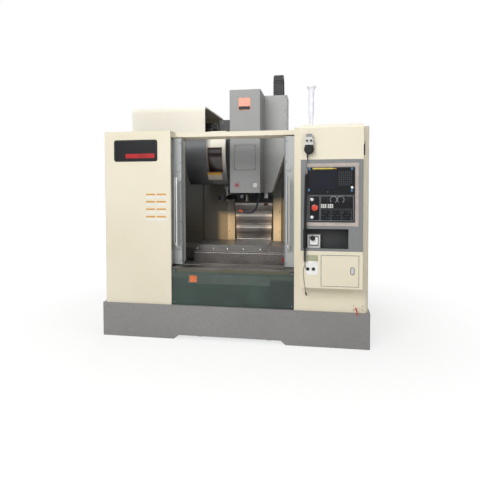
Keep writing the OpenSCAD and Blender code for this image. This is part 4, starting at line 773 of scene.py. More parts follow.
def plate(
    name: str, low: Point, high: Point, corner: float, finish: Finish, body: str = "machine",
    rim: float = 0.3, copies: Sequence[Point] = (), axis: int = 1, slot: str = "",
) -> None:
    """Models a flat plate, foil, bar or pad with rounded corners and a broken rim.

    Args:
        name: the piece's name.
        low: lowest corner.
        high: highest corner.
        corner: radius of its corners.
        finish: its finish.
        body: the CAD body that it rides on.
        rim: width of its broken rim.
        copies: offsets of further ones in the same piece.
        axis: the axis that it looks along.
        slot: handed on to the piece's dress, which doesn't use it.
    """
    made = Piece.block(name, low, high)
    made.rims(lambda mid, line: abs(line[axis]) > 0.9).bevel(corner, 5)
    made.rims(lambda mid, line: abs(line[axis]) < 0.1).bevel(rim, 1)
    if copies:
        made.repeat(copies)
    made.dress(body, finish, slot)


def outline(
    name: str, low: Point, high: Point, wide: float, deep: float, finish: Finish, body: str = "machine"
) -> None:
    """Lays four mitred strips around an opening in a plane that looks along Y.

    Args:
        name: the piece's name.
        low: lower left corner of the opening; its Y is the surface.
        high: upper right corner of the opening.
        wide: width of a strip.
        deep: thickness, negative toward the front.
        finish: finish of the strips.
        body: the CAD body that they ride on.
    """
    y0, y1 = sorted((low[1], low[1] + deep))
    made = Piece.block(name, (low[0] - wide, y0, low[2] - wide), (high[0] + wide, y1, high[2] + wide))
    made.faces(lambda mid, normal: abs(normal.y) > 0.9).inset(wide)
    made.faces(
        lambda mid, normal: abs(normal.y) > 0.9 and low[0] < mid.x < high[0] and low[2] < mid.z < high[2]
    )
    bpy.ops.mesh.bridge_edge_loops()
    made.rims(lambda mid, line: abs(line.y) < 0.1).bevel(min(0.3, abs(deep) / 4), 1)
    made.dress(body, finish)


def bezel(
    name: str, centre: Point, outer: float, inner: float, high: float, finish: Finish, body: str = "machine",
    slot: str = "",
) -> None:
    """Models a round collar that looks to the front, with a recess.

    Args:
        name: the piece's name.
        centre: middle of the collar on the surface.
        outer: its diameter.
        inner: the recess's diameter.
        high: how far it stands out.
        finish: its finish.
        body: the CAD body that it rides on.
        slot: handed on to the piece's dress, which doesn't use it.
    """
    x, y, z = centre
    edge = min(high * 0.4, 1.2)
    made = Piece.rod(name, (x, y + 0.4, z), (x, y - high, z), outer, 48)
    made.rims(lambda mid, line: mid.y < y - high + 0.05).bevel(edge)
    made.faces(lambda mid, normal: normal.y < -0.9).inset((outer - inner) / 2 - edge)
    made.extrude(0, high * 0.6, 0)
    made.dress(body, finish, slot)


# Cords


def smooth_path(points: Sequence[Point], between: int) -> list[Vector]:
    """Runs one smooth curve through the points.

    Args:
        points: points in millimetres.
        between: steps from one point to the next.

    Returns:
        Points on the curve, in millimetres.
    """
    p = [Vector(q) for q in points]
    p = [2 * p[0] - p[1]] + p + [2 * p[-1] - p[-2]]
    line = []
    for i in range(1, len(p) - 2):
        a, b, c, d = p[i - 1], p[i], p[i + 1], p[i + 2]
        for k in range(between):
            t = k / between
            square, cube = 2 * a - 5 * b + 4 * c - d, 3 * b - a - 3 * c + d
            line.append(0.5 * ((2 * b) + (c - a) * t + square * t * t + cube * t**3))
    return line + [p[-2]]


def cord_curve(name: str, line: Sequence[Vector], diameter: float) -> bpy.types.Object:
    """Makes one open spline with a round section.

    Args:
        name: the cord's name.
        line: its centreline, in millimetres.
        diameter: its diameter, in millimetres.

    Returns:
        The curve object.
    """
    data = bpy.data.curves.new(name, "CURVE")
    data.dimensions = "3D"
    data.bevel_depth = diameter / 2 * MM
    data.bevel_resolution = 1
    data.use_fill_caps = True
    spline = data.splines.new("POLY")
    spline.points.add(len(line) - 1)
    for point, spot in zip(spline.points, line):
        point.co = (*place(*spot), 1.0)
    spline.use_smooth = True
    obj = bpy.data.objects.new(name, data)
    bpy.context.scene.collection.objects.link(obj)
    return obj


@dataclass
class PendantCords:
    """The curly lead of the hand pendant and the short tether with its dust cap."""

    coil_top: float = 1541.0
    coil_run: float = 760.0
    coil_radius: float = 9.75
    pitch: float = 6.3
    wire: float = 4.8
    run_in: float = 34.0
    lead: Sequence[Point] = ((708, -138, 1683), (708, -138, 1662), (706, -138, 1645), (703, -138, 1630),
                             (700, -138, 1600), (697, -138, 1575))
    tail: Sequence[Point] = ((688, -138, 757), (690, -138, 744), (695, -137, 732), (702, -134, 724),
                             (708, -129, 720), (711, -122, 719), (711, -115, 719))
    tether: Sequence[Point] = ((688, -113, 745), (683, -117, 740), (678, -119, 728), (675, -120, 708),
                               (674, -120, 680), (676, -120, 650), (679, -120, 620), (683, -120, 590),
                               (688, -120, 560), (692, -120, 530), (694, -120, 520))
    curly_length: float = 7.6
    tether_length: float = 0.24
    tether_wire: float = 4.0

    def axis(self, share: float) -> Vector:
        """Gives the coil's middle line, from 0 at its top to 1 at its lowest turn."""
        return Vector((688 + 7 * (1 - share) ** 2, -138, self.coil_top - self.coil_run * share))

    def centreline(self) -> list[Vector]:
        """Runs the lead into the coil, round its turns and out to the socket.

        Returns:
            Points in millimetres, 16 for each turn.
        """
        turns = round(self.coil_run / self.pitch)
        steps = turns * 16
        coil = []
        for i in range(steps + 1):
            out = min(1.0, i / 16, (steps - i) / 16)
            r = self.coil_radius * (3 * out**2 - 2 * out**3)
            rise = self.run_in * (1 - out) ** 2 * (1 if i < steps / 2 else -1)
            a = 2 * math.pi * i / 16
            coil.append(self.axis(i / steps) + Vector((r * math.cos(a), r * math.sin(a), rise)))
        start = smooth_path(list(self.lead) + [tuple(coil[0])], 4)
        end = smooth_path([tuple(coil[-1])] + list(self.tail)[1:], 4)
        return start[:-1] + coil + end[1:]

    def build(self) -> None:
        """Builds both cords with their reliefs, plug and cap."""
        curly = cord_curve("pendant_curly_cord", self.centreline(), self.wire)
        dress(curly, "machine", PVC, replaces=["coil_cord"])
        ribs = [(11.5, 1), (11.5, 3), (10, 1), (10, 3), (8.6, 1), (8.6, 3), (7.2, 1), (7.2, 3), (5.6, 2)]
        boot = Piece.turned("pendant_cord_boot", (708, -138, 1686), (708, -138, 1676), 13, ribs)
        boot_piece = boot.dress("machine", RUBBER)
        grip = [(17, 0.6), (17, 3.4), (12, 1.5), (10.5, 1), (10.5, 1.5), (7, 1.5)]
        plug = Piece.turned("pendant_cord_plug", (711, -108.5, 719), (711, -121, 719), 18.5, grip, 32)
        plug_piece = plug.dress("machine", ABS_BLACK)
        tie = cord_curve("cap_tether_cord", smooth_path(self.tether, 4), self.tether_wire)
        dress(tie, "machine", PVC, replaces=["cap_tether"])
        bell = [(14.6, 1.5), (14.6, 11), (13, 1), (13, 11), (11.5, 1.5)]
        cap = Piece.turned(
            "tether_dust_cap", (693.2, -120, 526), (695, -120, 514), 8, bell, way=(0.24, 0, -0.97)
        )
        cap_piece = cap.dress("machine", RUBBER)
        foot = Piece.turned("tether_foot", (688, -109.8, 745), (688, -113, 745), 9, [(6, 0.6), (6, 1.2)])
        foot_piece = foot.dress("machine", RUBBER)


# Camera, floor and light


@dataclass
class Studio:
    """Camera at the photograph's place, a pale floor and plain soft light.

    Args:
        focal_px: focal length, in pixels of the frame.
        middle_px: where the camera's axis meets the frame.
        frame_px: the frame's side.
        spot: the camera's place.
        yaw: its turn to the left, in degrees.
        pitch: its tilt down.
        roll: its roll.
        sensor: width of its sensor.
        world_fill: strength of the world's light on the object.
        floor_fade: how far from the middle, in metres, the floor starts and ends to brighten.
        floor_share: how much of the bright floor the camera sees near the object.
        floor_glow: strength of the bright floor.
        lamps: each lamp's name, place, target, side in metres and power.
        work_lights: name and X of the lights inside the enclosure.
        warm: their linear colour.
    """

    focal_px: float = 457.96
    middle_px: tuple[float, float] = (236.3, 204.32)
    frame_px: float = 480.0
    spot: Point = (803.4, -4093.2, 1423.7)
    yaw: float = 10.22
    pitch: float = 2.12
    roll: float = -0.14
    sensor: float = 36.0
    world_fill: float = 0.2
    floor_fade: tuple[float, float] = (1.5, 3.6)
    floor_share: float = 0.7
    floor_glow: float = 1.06
    lamps: Sequence[tuple[str, Point, Point, float, float]] = (
        ("key_lamp", (-1200, -5000, 4100), (0, 200, 1000), 3.0, 217),
        ("fill_lamp", (4200, -3600, 2600), (200, 300, 1000), 3.2, 56),
        ("top_lamp", (0, 700, 5600), (0, 700, 1000), 3.5, 80),
        ("rear_lamp", (-1500, 6500, 4000), (0, 900, 1200), 3.5, 150),
    )
    work_lights: Sequence[tuple[str, float]] = (("left_light", -350), ("right_light", 320))
    warm: Point = (1.0, 0.72, 0.47)

    def camera(self) -> None:
        """Sets the camera from the fitted angles and principal point."""
        yaw, pitch, roll = (math.radians(a) for a in (self.yaw, self.pitch, self.roll))
        ahead = Vector((-math.sin(yaw) * math.cos(pitch), math.cos(yaw) * math.cos(pitch), -math.sin(pitch)))
        level = Vector((math.cos(yaw), math.sin(yaw), 0))
        up = level.cross(ahead)
        right = level * math.cos(roll) + up * math.sin(roll)
        top = up * math.cos(roll) - level * math.sin(roll)
        data = bpy.data.cameras.new("camera")
        data.sensor_width = self.sensor
        data.lens = self.focal_px / self.frame_px * self.sensor
        data.shift_x = (self.frame_px / 2 - self.middle_px[0]) / self.frame_px
        data.shift_y = (self.middle_px[1] - self.frame_px / 2) / self.frame_px
        data.clip_end = 100
        made = bpy.data.objects.new("camera", data)
        bpy.context.scene.collection.objects.link(made)
        turn = Matrix((right, top, -ahead)).transposed().to_4x4()
        made.matrix_world = Matrix.Translation(place(*self.spot)) @ turn
        bpy.context.scene.camera = made

    def lamp(
        self, name: str, spot: Point, target: Point, size: float, power: float, colour: Point = (1, 1, 1)
    ) -> None:
        """Adds one soft area lamp.

        Args:
            name: the lamp's name.
            spot: its place, in millimetres.
            target: what it looks at.
            size: its side, in metres.
            power: its power, in watts.
            colour: its linear colour.
        """
        data = bpy.data.lights.new(name, "AREA")
        data.shape = "SQUARE"
        data.size = size
        data.energy = power
        data.color = colour
        made = bpy.data.objects.new(name, data)
        bpy.context.scene.collection.objects.link(made)
        a, b = place(*spot), place(*target)
        made.location = a
        made.rotation_euler = (b - a).to_track_quat("-Z", "Y").to_euler()

    def world(self) -> None:
        """Gives an even grey world that the camera, metal and glass see as white."""
        made = bpy.data.worlds.new("studio")
        bpy.context.scene.world = made
        tree = node_tree(made)
        path = add(tree, "ShaderNodeLightPath")
        seen = path.outputs["Is Camera Ray"]
        for ray in ("Is Glossy Ray", "Is Transmission Ray"):
            most = add(tree, "ShaderNodeMath", {"operation": "MAXIMUM"}, {0: seen, 1: path.outputs[ray]})
            seen = most.outputs[0]
        cool = (0.93, 0.96, 1.0, 1.0)
        dim = add(tree, "ShaderNodeBackground", {"Color": cool, "Strength": self.world_fill})
        white = add(tree, "ShaderNodeBackground", {"Color": (1.0, 1.0, 1.0, 1.0), "Strength": 1.0})
        both = add(tree, "ShaderNodeMixShader", None, {0: seen, 1: dim.outputs[0], 2: white.outputs[0]})
        add(tree, "ShaderNodeOutputWorld", None, {"Surface": both.outputs[0]})

    def floor(self) -> None:
        """Lays a pale floor that keeps the object's shadow."""
        Piece.unselect()
        bpy.ops.mesh.primitive_plane_add(size=60, location=(0, 0, 0))
        obj = bpy.context.object
        obj.name = "studio_floor"
        made = bpy.data.materials.new("pale_floor")
        tree = node_tree(made)
        path = add(tree, "ShaderNodeLightPath")
        where = add(tree, "ShaderNodeTexCoord").outputs["Object"]
        away = add(tree, "ShaderNodeVectorMath", {"operation": "LENGTH"}, {0: where}).outputs["Value"]
        near, far = self.floor_fade
        fade = {"From Min": near, "From Max": far, "To Min": self.floor_share, "To Max": 1.0}
        share = add(tree, "ShaderNodeMapRange", fade, {"Value": away}).outputs["Result"]
        camera = path.outputs["Is Camera Ray"]
        seen = add(tree, "ShaderNodeMath", {"operation": "MULTIPLY"}, {0: share, 1: camera}).outputs[0]
        matt = add(tree, "ShaderNodeBsdfDiffuse", {"Color": linear("F4F3F0")}).outputs[0]
        white = {"Color": (1, 1, 1, 1), "Strength": self.floor_glow}
        glow = add(tree, "ShaderNodeEmission", white).outputs[0]
        both = add(tree, "ShaderNodeMixShader", None, {0: seen, 1: matt, 2: glow})
        add(tree, "ShaderNodeOutputMaterial", None, {"Surface": both.outputs[0]})
        obj.data.materials.append(made)

    def build(self) -> None:
        """Builds camera, world, floor and lamps."""
        bpy.context.scene.view_settings.view_transform = "Standard"
        self.camera()
        self.world()
        self.floor()
        for lamp in self.lamps:
            self.lamp(*lamp)
        for name, x in self.work_lights:
            self.lamp(name, (x, 1250, 930), (x, 1650, 880), 0.3, 0.42, self.warm)


# Fine pieces


LEFT_X, RIGHT_X = -1221, 1235  # outer faces of the left cover and of the right side
BACK_Y = 1658  # back face of the rear wall and the hood
CABINET_BACK_Y = 2042  # back face of the cabinet's door


@dataclass(frozen=True)
class Trim:
    """Fittings that lie on one front face of a body.

    Args:
        face_y: where the face stands along Y.
        body: the CAD body that they ride on.
    """

    face_y: float
    body: str = "machine"

    def lay(
        self, name: str, box: Box, thick: float, corner: float, finish: Finish, rim: float = 0.3,
        lift: float = 0.0, copies: Sequence[Point] = (),
    ) -> None:
        """Lays a plate on the face.

        Args:
            name: the piece's name.
            box: its left, low, right and high edge.
            thick: its thickness.
            corner: radius of its corners.
            finish: its finish.
            rim: width of its broken rim.
            lift: thickness of what lies between it and the face.
            copies: offsets of further ones in the same piece.
        """
        x0, z0, x1, z1 = box
        y = self.face_y - lift
        plate(name, (x0, y - thick, z0), (x1, y, z1), corner, finish, self.body, rim, copies)

    def line(self, name: str, box: Box, wide: float, thick: float, finish: Finish, lift: float = 0.0) -> None:
        """Lays a rectangular line on the face.

        Args:
            name: the piece's name.
            box: its inner left, low, right and high edge.
            wide: width of the line.
            thick: its thickness.
            finish: its finish.
            lift: thickness of what lies between it and the face.
        """
        x0, z0, x1, z1 = box
        y = self.face_y - lift
        outline(name, (x0, y, z0), (x1, y, z1), wide, -thick, finish, self.body)


@dataclass(frozen=True)
class FrontCovers(Trim):
    """Bare name plate, bare tags and the fasteners of the left cover, pillar and rail."""

    face_y: float = 19.0
    name_plate: Box = (-1122, 1670, -689, 1874)
    plate_thick: float = 3.0
    line_inset: float = 12.0
    tag_columns: Sequence[tuple[float, float]] = ((-806, -717), (-702, -609))
    tag_tops: Sequence[float] = (1366, 1297, 1227, 1156)
    tag_height: float = 47.0
    tag_thick: float = 0.8
    band: float = 15.0
    joint_heights: tuple[float, float] = (330, 1940)

    def build(self) -> None:
        """Builds the plates, tags and fasteners."""
        x0, z0, x1, z1 = self.name_plate
        inset, thick = self.line_inset, self.plate_thick
        self.lay("name_plate", self.name_plate, thick, 22, FOIL_BLACK, 0.8)
        line = (x0 + inset, z0 + inset, x1 - inset, z1 - inset)
        self.line("name_plate_line", line, 2, 0.3, FOIL_GREEN, thick)
        self.lay("name_plate_bar", (-1005, 1701, -716, 1743), 0.6, 4, FOIL_RED, 0.1, thick)
        top = self.tag_tops[0]
        middle, low = top - self.band, top - self.tag_height
        drops = [(0, 0, z - top) for z in self.tag_tops[1:]]
        for i, (left, right) in enumerate(self.tag_columns, 1):
            for part, z0, z1, finish in (
                ("band", middle, top, FOIL_AMBER), ("field", low, middle, FOIL_WHITE),
            ):
                box = (left, z0, right, z1)
                self.lay(f"tag_{part}_{i}", box, self.tag_thick, 2, finish, 0.1, copies=drops)
        heights = run(360, 310, 6)
        screws("left_cover_top_screws", run(-1180, 150, 4), (60, 240), 1953, Facing.UP, 11)
        screws("left_cover_side_screws", LEFT_X, (70, 820, 1610), heights, Facing.LEFT, 12)
        screws("right_side_screws", RIGHT_X, (760, 1610), heights, Facing.RIGHT, 12)
        self.lay("pillar_cable_slot", (1179, 1700, 1196, 1822), 2.4, 4, ABS_BLACK)
        low, high = self.joint_heights
        for side, x0, x1, y in (("left", LEFT_X - 1.2, LEFT_X, 838), ("right", RIGHT_X, RIGHT_X + 1.2, 798)):
            plate(f"side_joint_{side}", (x0, y, low), (x1, y + 4, high), 0.8, RUBBER, rim=0.2, axis=0)
        screws("valve_plate_dots", (1109, 1186), 16, (380, 346), Facing.FRONT, 7, finish=BLACKENED)


@dataclass(frozen=True)
class DoorTrim(Trim):
    """Gaskets, handle roots, edge seal and fasteners of one sliding door.

    Args:
        face_y: the door's front face.
        body: the door.
        side: -1 for the left door and 1 for the right one.
        leading: how far its leading edge stands from the middle.
        inner_y: the door's inner face.
    """

    face_y: float = 154.0
    body: str = "left_door"
    side: int = -1
    leading: float = 489.0
    inner_y: float = 214.0

    def at(self, away: float) -> float:
        """Gives the X of a place so far behind the leading edge."""
        return self.side * (self.leading + away)

    def build(self) -> None:
        """Builds the trim of the door on this side."""
        body, face_y = self.body, self.face_y
        name = body.removesuffix("_door")
        low, high = sorted((self.at(118), self.at(482)))
        for where, y, deep in (("outer", face_y, -2.6), ("inner", self.inner_y, 2.6)):
            outline(f"{name}_{where}_gasket", (low, y, 832), (high, y, 1744), 13, deep, RUBBER, body)
        for part, near, far, z0, z1, thick, finish in (
            ("seal", 3, 8, 690, 1888, 2, RUBBER), ("strip", 9, 30, 688, 1890, 1.2, BRIGHT_STRIP),
        ):
            low, high = sorted((self.at(near), self.at(far)))
            self.lay(f"{name}_edge_{part}", (low, z0, high, z1), thick, 1, finish)
        heights = run(720, 188, 7)
        screws(f"{name}_edge_screws", self.at(19), face_y - 1.2, heights, Facing.FRONT, 9, body, BLACKENED)
        for where, z in (("low", 863.5), ("high", 1588.5)):
            bezel(f"{name}_handle_root_{where}", (self.at(40), face_y, z), 46, 35, 3, HANDLE, body)
        screws(f"{name}_frame_screws", self.at(542), face_y, run(740, 220, 6), Facing.FRONT, 9, body)


@dataclass(frozen=True)
class HeadTrim(Trim):
    """Bare badge, mark, service cover and nozzles of the spindle head."""

    face_y: float = 781.0
    body: str = "head"
    star: tuple[float, float] = (-67, 1448)
    cap: tuple[float, float] = (130, 1446)
    spindle: Point = (20, 915, 1350)
    nozzle_way: Point = (0.25, 0.25, -0.93)

    def build(self) -> None:
        """Builds the trim that rides on the head."""
        y, body = self.face_y, self.body
        dark_screws = partial(screws, body=body, finish=BLACKENED)
        self.lay("head_badge", (-49, 2249, 81, 2381), 3, 12, FOIL_ORANGE, 0.8)
        self.lay("head_badge_foot", (-44, 2254, 76, 2290), 0.5, 6, FOIL_BLACK, 0.1, 3)
        self.line("service_cover_line", (-94, 1611, 132, 1877), 2.5, 0.6, BLACKENED)
        dark_screws("service_cover_screws", (-84, 122), y, (1622, 1866), Facing.FRONT, 9)
        x, z = self.star
        ray = Piece.block("star_mark", (x + 4, y - 0.8, z - 4), (x + 41, y, z + 4))
        ray.faces(lambda mid, normal: normal.x > 0.9).resize(1, 1, 0.3, (x + 41, y, z))
        ray.repeat_round(8, (x, y, z)).dress(body, FOIL_RED)
        x, z = self.cap
        bezel("plug_collar", (x, y, z), 46, 34, 3, ABS_WHITE, body)
        bezel("plug_middle", (x, y, z), 30, 20, 2, CHAIN_GREY, body)
        heights = run(1420, 255, 5)
        dark_screws("head_side_screws", 187, 800, heights, Facing.RIGHT, 9, more=[(187, 1110, 1420)])
        dark_screws("head_left_screws", -147, (800, 1110), heights, Facing.LEFT, 9)
        dark_screws("head_top_screws", (-125, 165), (800, 1120), 2469, Facing.UP, 10)
        dark_screws("chain_box_screws", 428, 1138, run(1990, 150, 4), Facing.FRONT, 9)
        dark_screws("chain_box_side_screws", 446, (1170, 1370), run(1930, 160, 4), Facing.RIGHT, 9)
        x, y, z = self.spindle
        Piece.turned("nozzle_ring", (x, y, z + 18), self.spindle, 168, [(158, 4)], 64).dress(body, BLACKENED)
        for name, start, end, diameter, steps, sides, finish in (
            (
                "coolant_nozzle", (-46, 872, 1352), (-44, 874, 1347), 22, [(18, 2), (11, 1), (9, 4), (6, 1)],
                24, BLACKENED,
            ),
            (
                "nozzle_tip", (-42.2, 875.8, 1341.5), (-41.8, 876.2, 1339.8), 7, [(5, 0.8), (4, 1)],
                20, BRIGHT_SCREW,
            ),
        ):
            part = Piece.turned(name, start, end, diameter, steps, sides, self.nozzle_way)
            part.repeat_round(4, self.spindle, axis="Z").dress(body, finish)


@dataclass(frozen=True)
class Interior:
    """Lips of the telescopic covers, fasteners and lamp inside the enclosure."""

    covers: Sequence[str] = ("machine", "z_cover_2", "z_cover_3", "z_cover_4", "head")
    middle_x: float = 22.0
    top_z: float = 1290.0
    front_y: float = 1438.0
    half_width: float = 229.0
    overlap: float = 6.0
    pitch: float = 140.0
    height: float = 155.0
    lamp_y: float = 385.0
    lamp_z: float = 1942.0

    def build(self) -> None:
        """Builds what shows through the open doors."""
        for i, body in enumerate(self.covers, 1):
            drop = len(self.covers) - i
            z = self.top_z - drop * self.pitch - self.height
            y = self.front_y + drop * self.overlap
            half = self.half_width - drop * self.overlap
            x0, x1 = self.middle_x - half, self.middle_x + half
            plate(f"z_cover_lip_{i}", (x0, y - 1.8, z + 1), (x1, y, z + 13), 0.8, LIP, body, 0.4)
            plate(f"z_cover_wiper_{i}", (x0, y - 0.9, z + 14), (x1, y, z + 20), 0.8, NYLON, body, 0.2)
            places = run(x0 + 22, (2 * half - 44) / 5, 6)
            screws(f"z_cover_screws_{i}", places, y, z + 34, Facing.FRONT, 6, body, BLACKENED)
        plate("red_tab", (148, 1436.6, 1200), (196, 1438, 1232), 3, DARK_RED, "head", 0.2)
        guard_screws = partial(screws, facing=Facing.FRONT, body="table", finish=BRIGHT_SCREW)
        guard_screws("guard_screws", (-440, -269, -119, 47, 220), 510, 790, diameter=14)
        guard_screws("guard_side_screws", (300, 630), 517, (700, 790), diameter=9)
        plate("guard_lip", (-472.5, 508.4, 743), (676.5, 510, 750), 0.7, LIP, "table", 0.5)
        plate("guard_mark", (440, 508, 668), (456, 510, 712), 3, ABS_RED, "table")
        for side, x, step in (("left", -281, 245), ("right", 341, 242)):
            screws(f"flange_screws_{side}", x, 1445, run(640, step, 5), Facing.FRONT, 13, finish=BLACKENED)
        plate("wall_seam", (-660, 1652, 700), (-655, 1655, 1480), 1, RUBBER)
        # The ledge takes the wall's painted-shade grey.
        plate("wall_ledge", (-860, 1640, 852), (-662, 1655, 864), 3, WALL)
        y, z = self.lamp_y, self.lamp_z
        Piece.pin("work_lamp_tube", (-260, y, z), (260, y, z), 40, 3, sides=40).dress("machine", MILKY)
        for side, x0, x1 in (("left", -290, -258), ("right", 258, 290)):
            cap = Piece.pin(f"work_lamp_cap_{side}", (x0, y, z), (x1, y, z), 50, 4, 3, 40)
            cap.dress("machine", ABS_BLACK)
        plate("work_lamp_bracket", (-300, 347, 1950), (300, 400, 1962), 3, GALVANISED, axis=2)


@dataclass(frozen=True)
class OperatorTrim(Trim):
    """Tape, key fields, scales, fasteners and small fittings of the operator station.

    Args:
        face_y: front face of the display unit and the operator panel.
        body: the CAD body that they ride on.
        fascia: the trim on the fascia behind them.
        dials: where the rotary controls stand along X.
        dial_z: their height.
        scale_marks: marks round each.
        scale_angle: the angle over which they are spread.
        scale_start: where the first mark stands, from straight up.
        socket_y: front face of the socket plate.
    """

    face_y: float = -122.0
    fascia: Trim = Trim(-110.0)
    dials: Sequence[float] = (851, 926, 986, 1060)
    dial_z: float = 1318.0
    scale_marks: int = 29
    scale_angle: float = -290.0
    scale_start: float = 145.0
    socket_y: float = -113.0

    def build(self) -> None:
        """Builds the trim from the top down."""
        self.tape()
        self.display()
        self.scales()
        self.panel()
        self.below()

    def tape(self) -> None:
        """Lays the masking tape round both units, in lengths that overlap."""
        lengths = {
            "tape_top": (700, 1595, 1000, 1626), "tape_top_end": (940, 1597, 1136, 1628),
            "tape_right": (1105, 1330, 1133, 1612), "tape_right_low": (1106, 1090, 1134, 1350),
            "tape_foot": (700, 1092, 1120, 1121), "tape_left": (697, 1500, 706, 1620),
        }
        for i, (name, box) in enumerate(lengths.items()):
            self.fascia.lay(name, box, 0.5 + 0.35 * (i % 2), 1.5, MASKING, 0.1)

    def display(self) -> None:
        """Builds the stickers, bezel and key field of the display unit."""
        corners = [(354, 0, 0), (354, 0, -184), (-4, 0, -180)]
        self.lay("blue_corner", (716, 1568, 730, 1590), 0.8, 2, ABS_BLUE, 0.1, copies=corners)
        self.lay("blue_bar", (864, 1378, 896, 1388), 1.2, 3, ABS_BLUE, 0.2)
        self.lay("yellow_strip", (748, 1576, 920, 1588), 1.0, 2, FOIL_YELLOW, 0.2)
        self.lay("yellow_strip_end", (916, 1578, 950, 1584), 0.8, 2, FOIL_AMBER, 0.2)
        self.line("screen_bezel", (736, 1402, 949, 1562), 5, 1.4, ABS_BLACK)
        keys = [(16.4 * column, 0, -15.5 * row) for row in range(8) for column in range(7)][1:]
        keys = [key for key in keys if not (key[0] > 90 and key[2] < -105)]
        self.lay("letter_key", (968, 1546, 978, 1555), 0.7, 1.5, KEY_GREY, 0.2, 1.9, keys)

    def scales(self) -> None:
        """Builds the scale and collar of each rotary control."""
        y, z = self.face_y, self.dial_z
        for i, x in enumerate(self.dials, 1):
            mark = Piece.block(f"dial_scale_{i}", (x - 1.3, y - 0.7, z + 25), (x + 1.3, y, z + 31))
            mark.repeat_round(self.scale_marks, (x, y, z), self.scale_angle)
            mark.obj.data.transform(about((x, y, z), self.scale_start, "Y"))
            mark.dress("machine", KEY_GREY if i in (1, 4) else LEGEND, "abs_light")
            bezel(f"dial_collar_{i}", (x, y, z), 46, 40, 1.6, ABS_BLACK)

    def panel(self) -> None:
        """Builds the lines, lamps, screws and collars of the operator panel."""
        fields = {
            "emergency_field": (718, 1136, 806, 1352), "selector_field": (820, 1240, 1092, 1352),
            "jog_field": (822, 1140, 898, 1228), "axis_field": (910, 1140, 986, 1228),
            "feed_field": (998, 1140, 1074, 1228),
        }
        for name, box in fields.items():
            self.line(name, box, 2.4, 0.5, FRAME_PRINT)
        keys = product(range(3), range(4), range(3))
        lamps = [(88 * b + 18 * c, 0, -24.4 * r) for b, c, r in keys if (b + c + r) % 3]
        self.lay("key_lamp", (833, 1208, 836, 1211), 1.0, 0.8, LEGEND, 0.1, 3.4, lamps)
        y = self.face_y
        screws("panel_screws", (720, 1094), y - 1.5, (1132, 1356), Facing.FRONT, 5, finish=BLACKENED)
        bezel("estop_collar", (769, y, 1248), 66, 40, 2.2, ABS_BLACK)
        for i, z in enumerate((1317, 1165), 1):
            bezel(f"push_collar_{i}", (746, y, z), 30, 21, 2.0, GALVANISED, slot="dark_steel")

    def below(self) -> None:
        """Builds the niche's edge, the small door's outline, latch plate and the fittings at the sockets."""
        self.fascia.line("niche_edge", (672, 897, 1052, 1066), 4, 1.2, FASCIA_GREY)
        self.fascia.line("small_door_seal", (826.5, 574, 1138, 838), 3.5, 0.7, RUBBER)
        door = Trim(-114.0, "small_door")
        door.lay("latch_gasket", (1070, 675, 1104, 741), 0.8, 16, ABS_BLACK, 0.2)
        door.lay("latch_plate", (1074, 679, 1100, 737), 1.2, 12.5, POLISHED, 0.5, 0.8)
        y = self.socket_y
        screws("socket_plate_screws", (701, 791), y, (676, 776), Facing.FRONT, 6)
        for i, x in enumerate((711, 760), 1):
            bezel(f"socket_collar_{i}", (x, y, 719), 33, 27.4, 1.4, GALVANISED)
        hinge = Piece.pin("small_door_hinge", (824.2, -113.6, 620), (824.2, -113.6, 650), 7, 0.8, sides=20)
        hinge.repeat([(0, 0, 142)]).dress("machine", GALVANISED)
        plate("socket_outlet", (727, -88, 926), (797, -86, 992), 6, ABS_WHITE)
        screws("housing_side_screws", 1173, (-90, 0), run(600, 300, 5), Facing.RIGHT, 9)


@dataclass(frozen=True)
class GreenPanelTrim(Trim):
    """Bare strip with its small badge, and the sill's screws."""

    face_y: float = 33.0
    strip_thick: float = 1.6

    def build(self) -> None:
        """Builds the strip and the fasteners."""
        self.lay("panel_strip", (-405, 524, 369, 610), self.strip_thick, 5, FOIL_GREEN, 0.4)
        self.lay("panel_strip_badge", (-388, 537, -318, 598), 0.8, 4, FOIL_ORANGE, 0.2, self.strip_thick)
        screws("panel_edge_screws", (-540, 566), self.face_y, (345, 640), Facing.FRONT, 9)
        screws("sill_screws", run(-520, 173, 7), 56, 676, Facing.UP, 8)


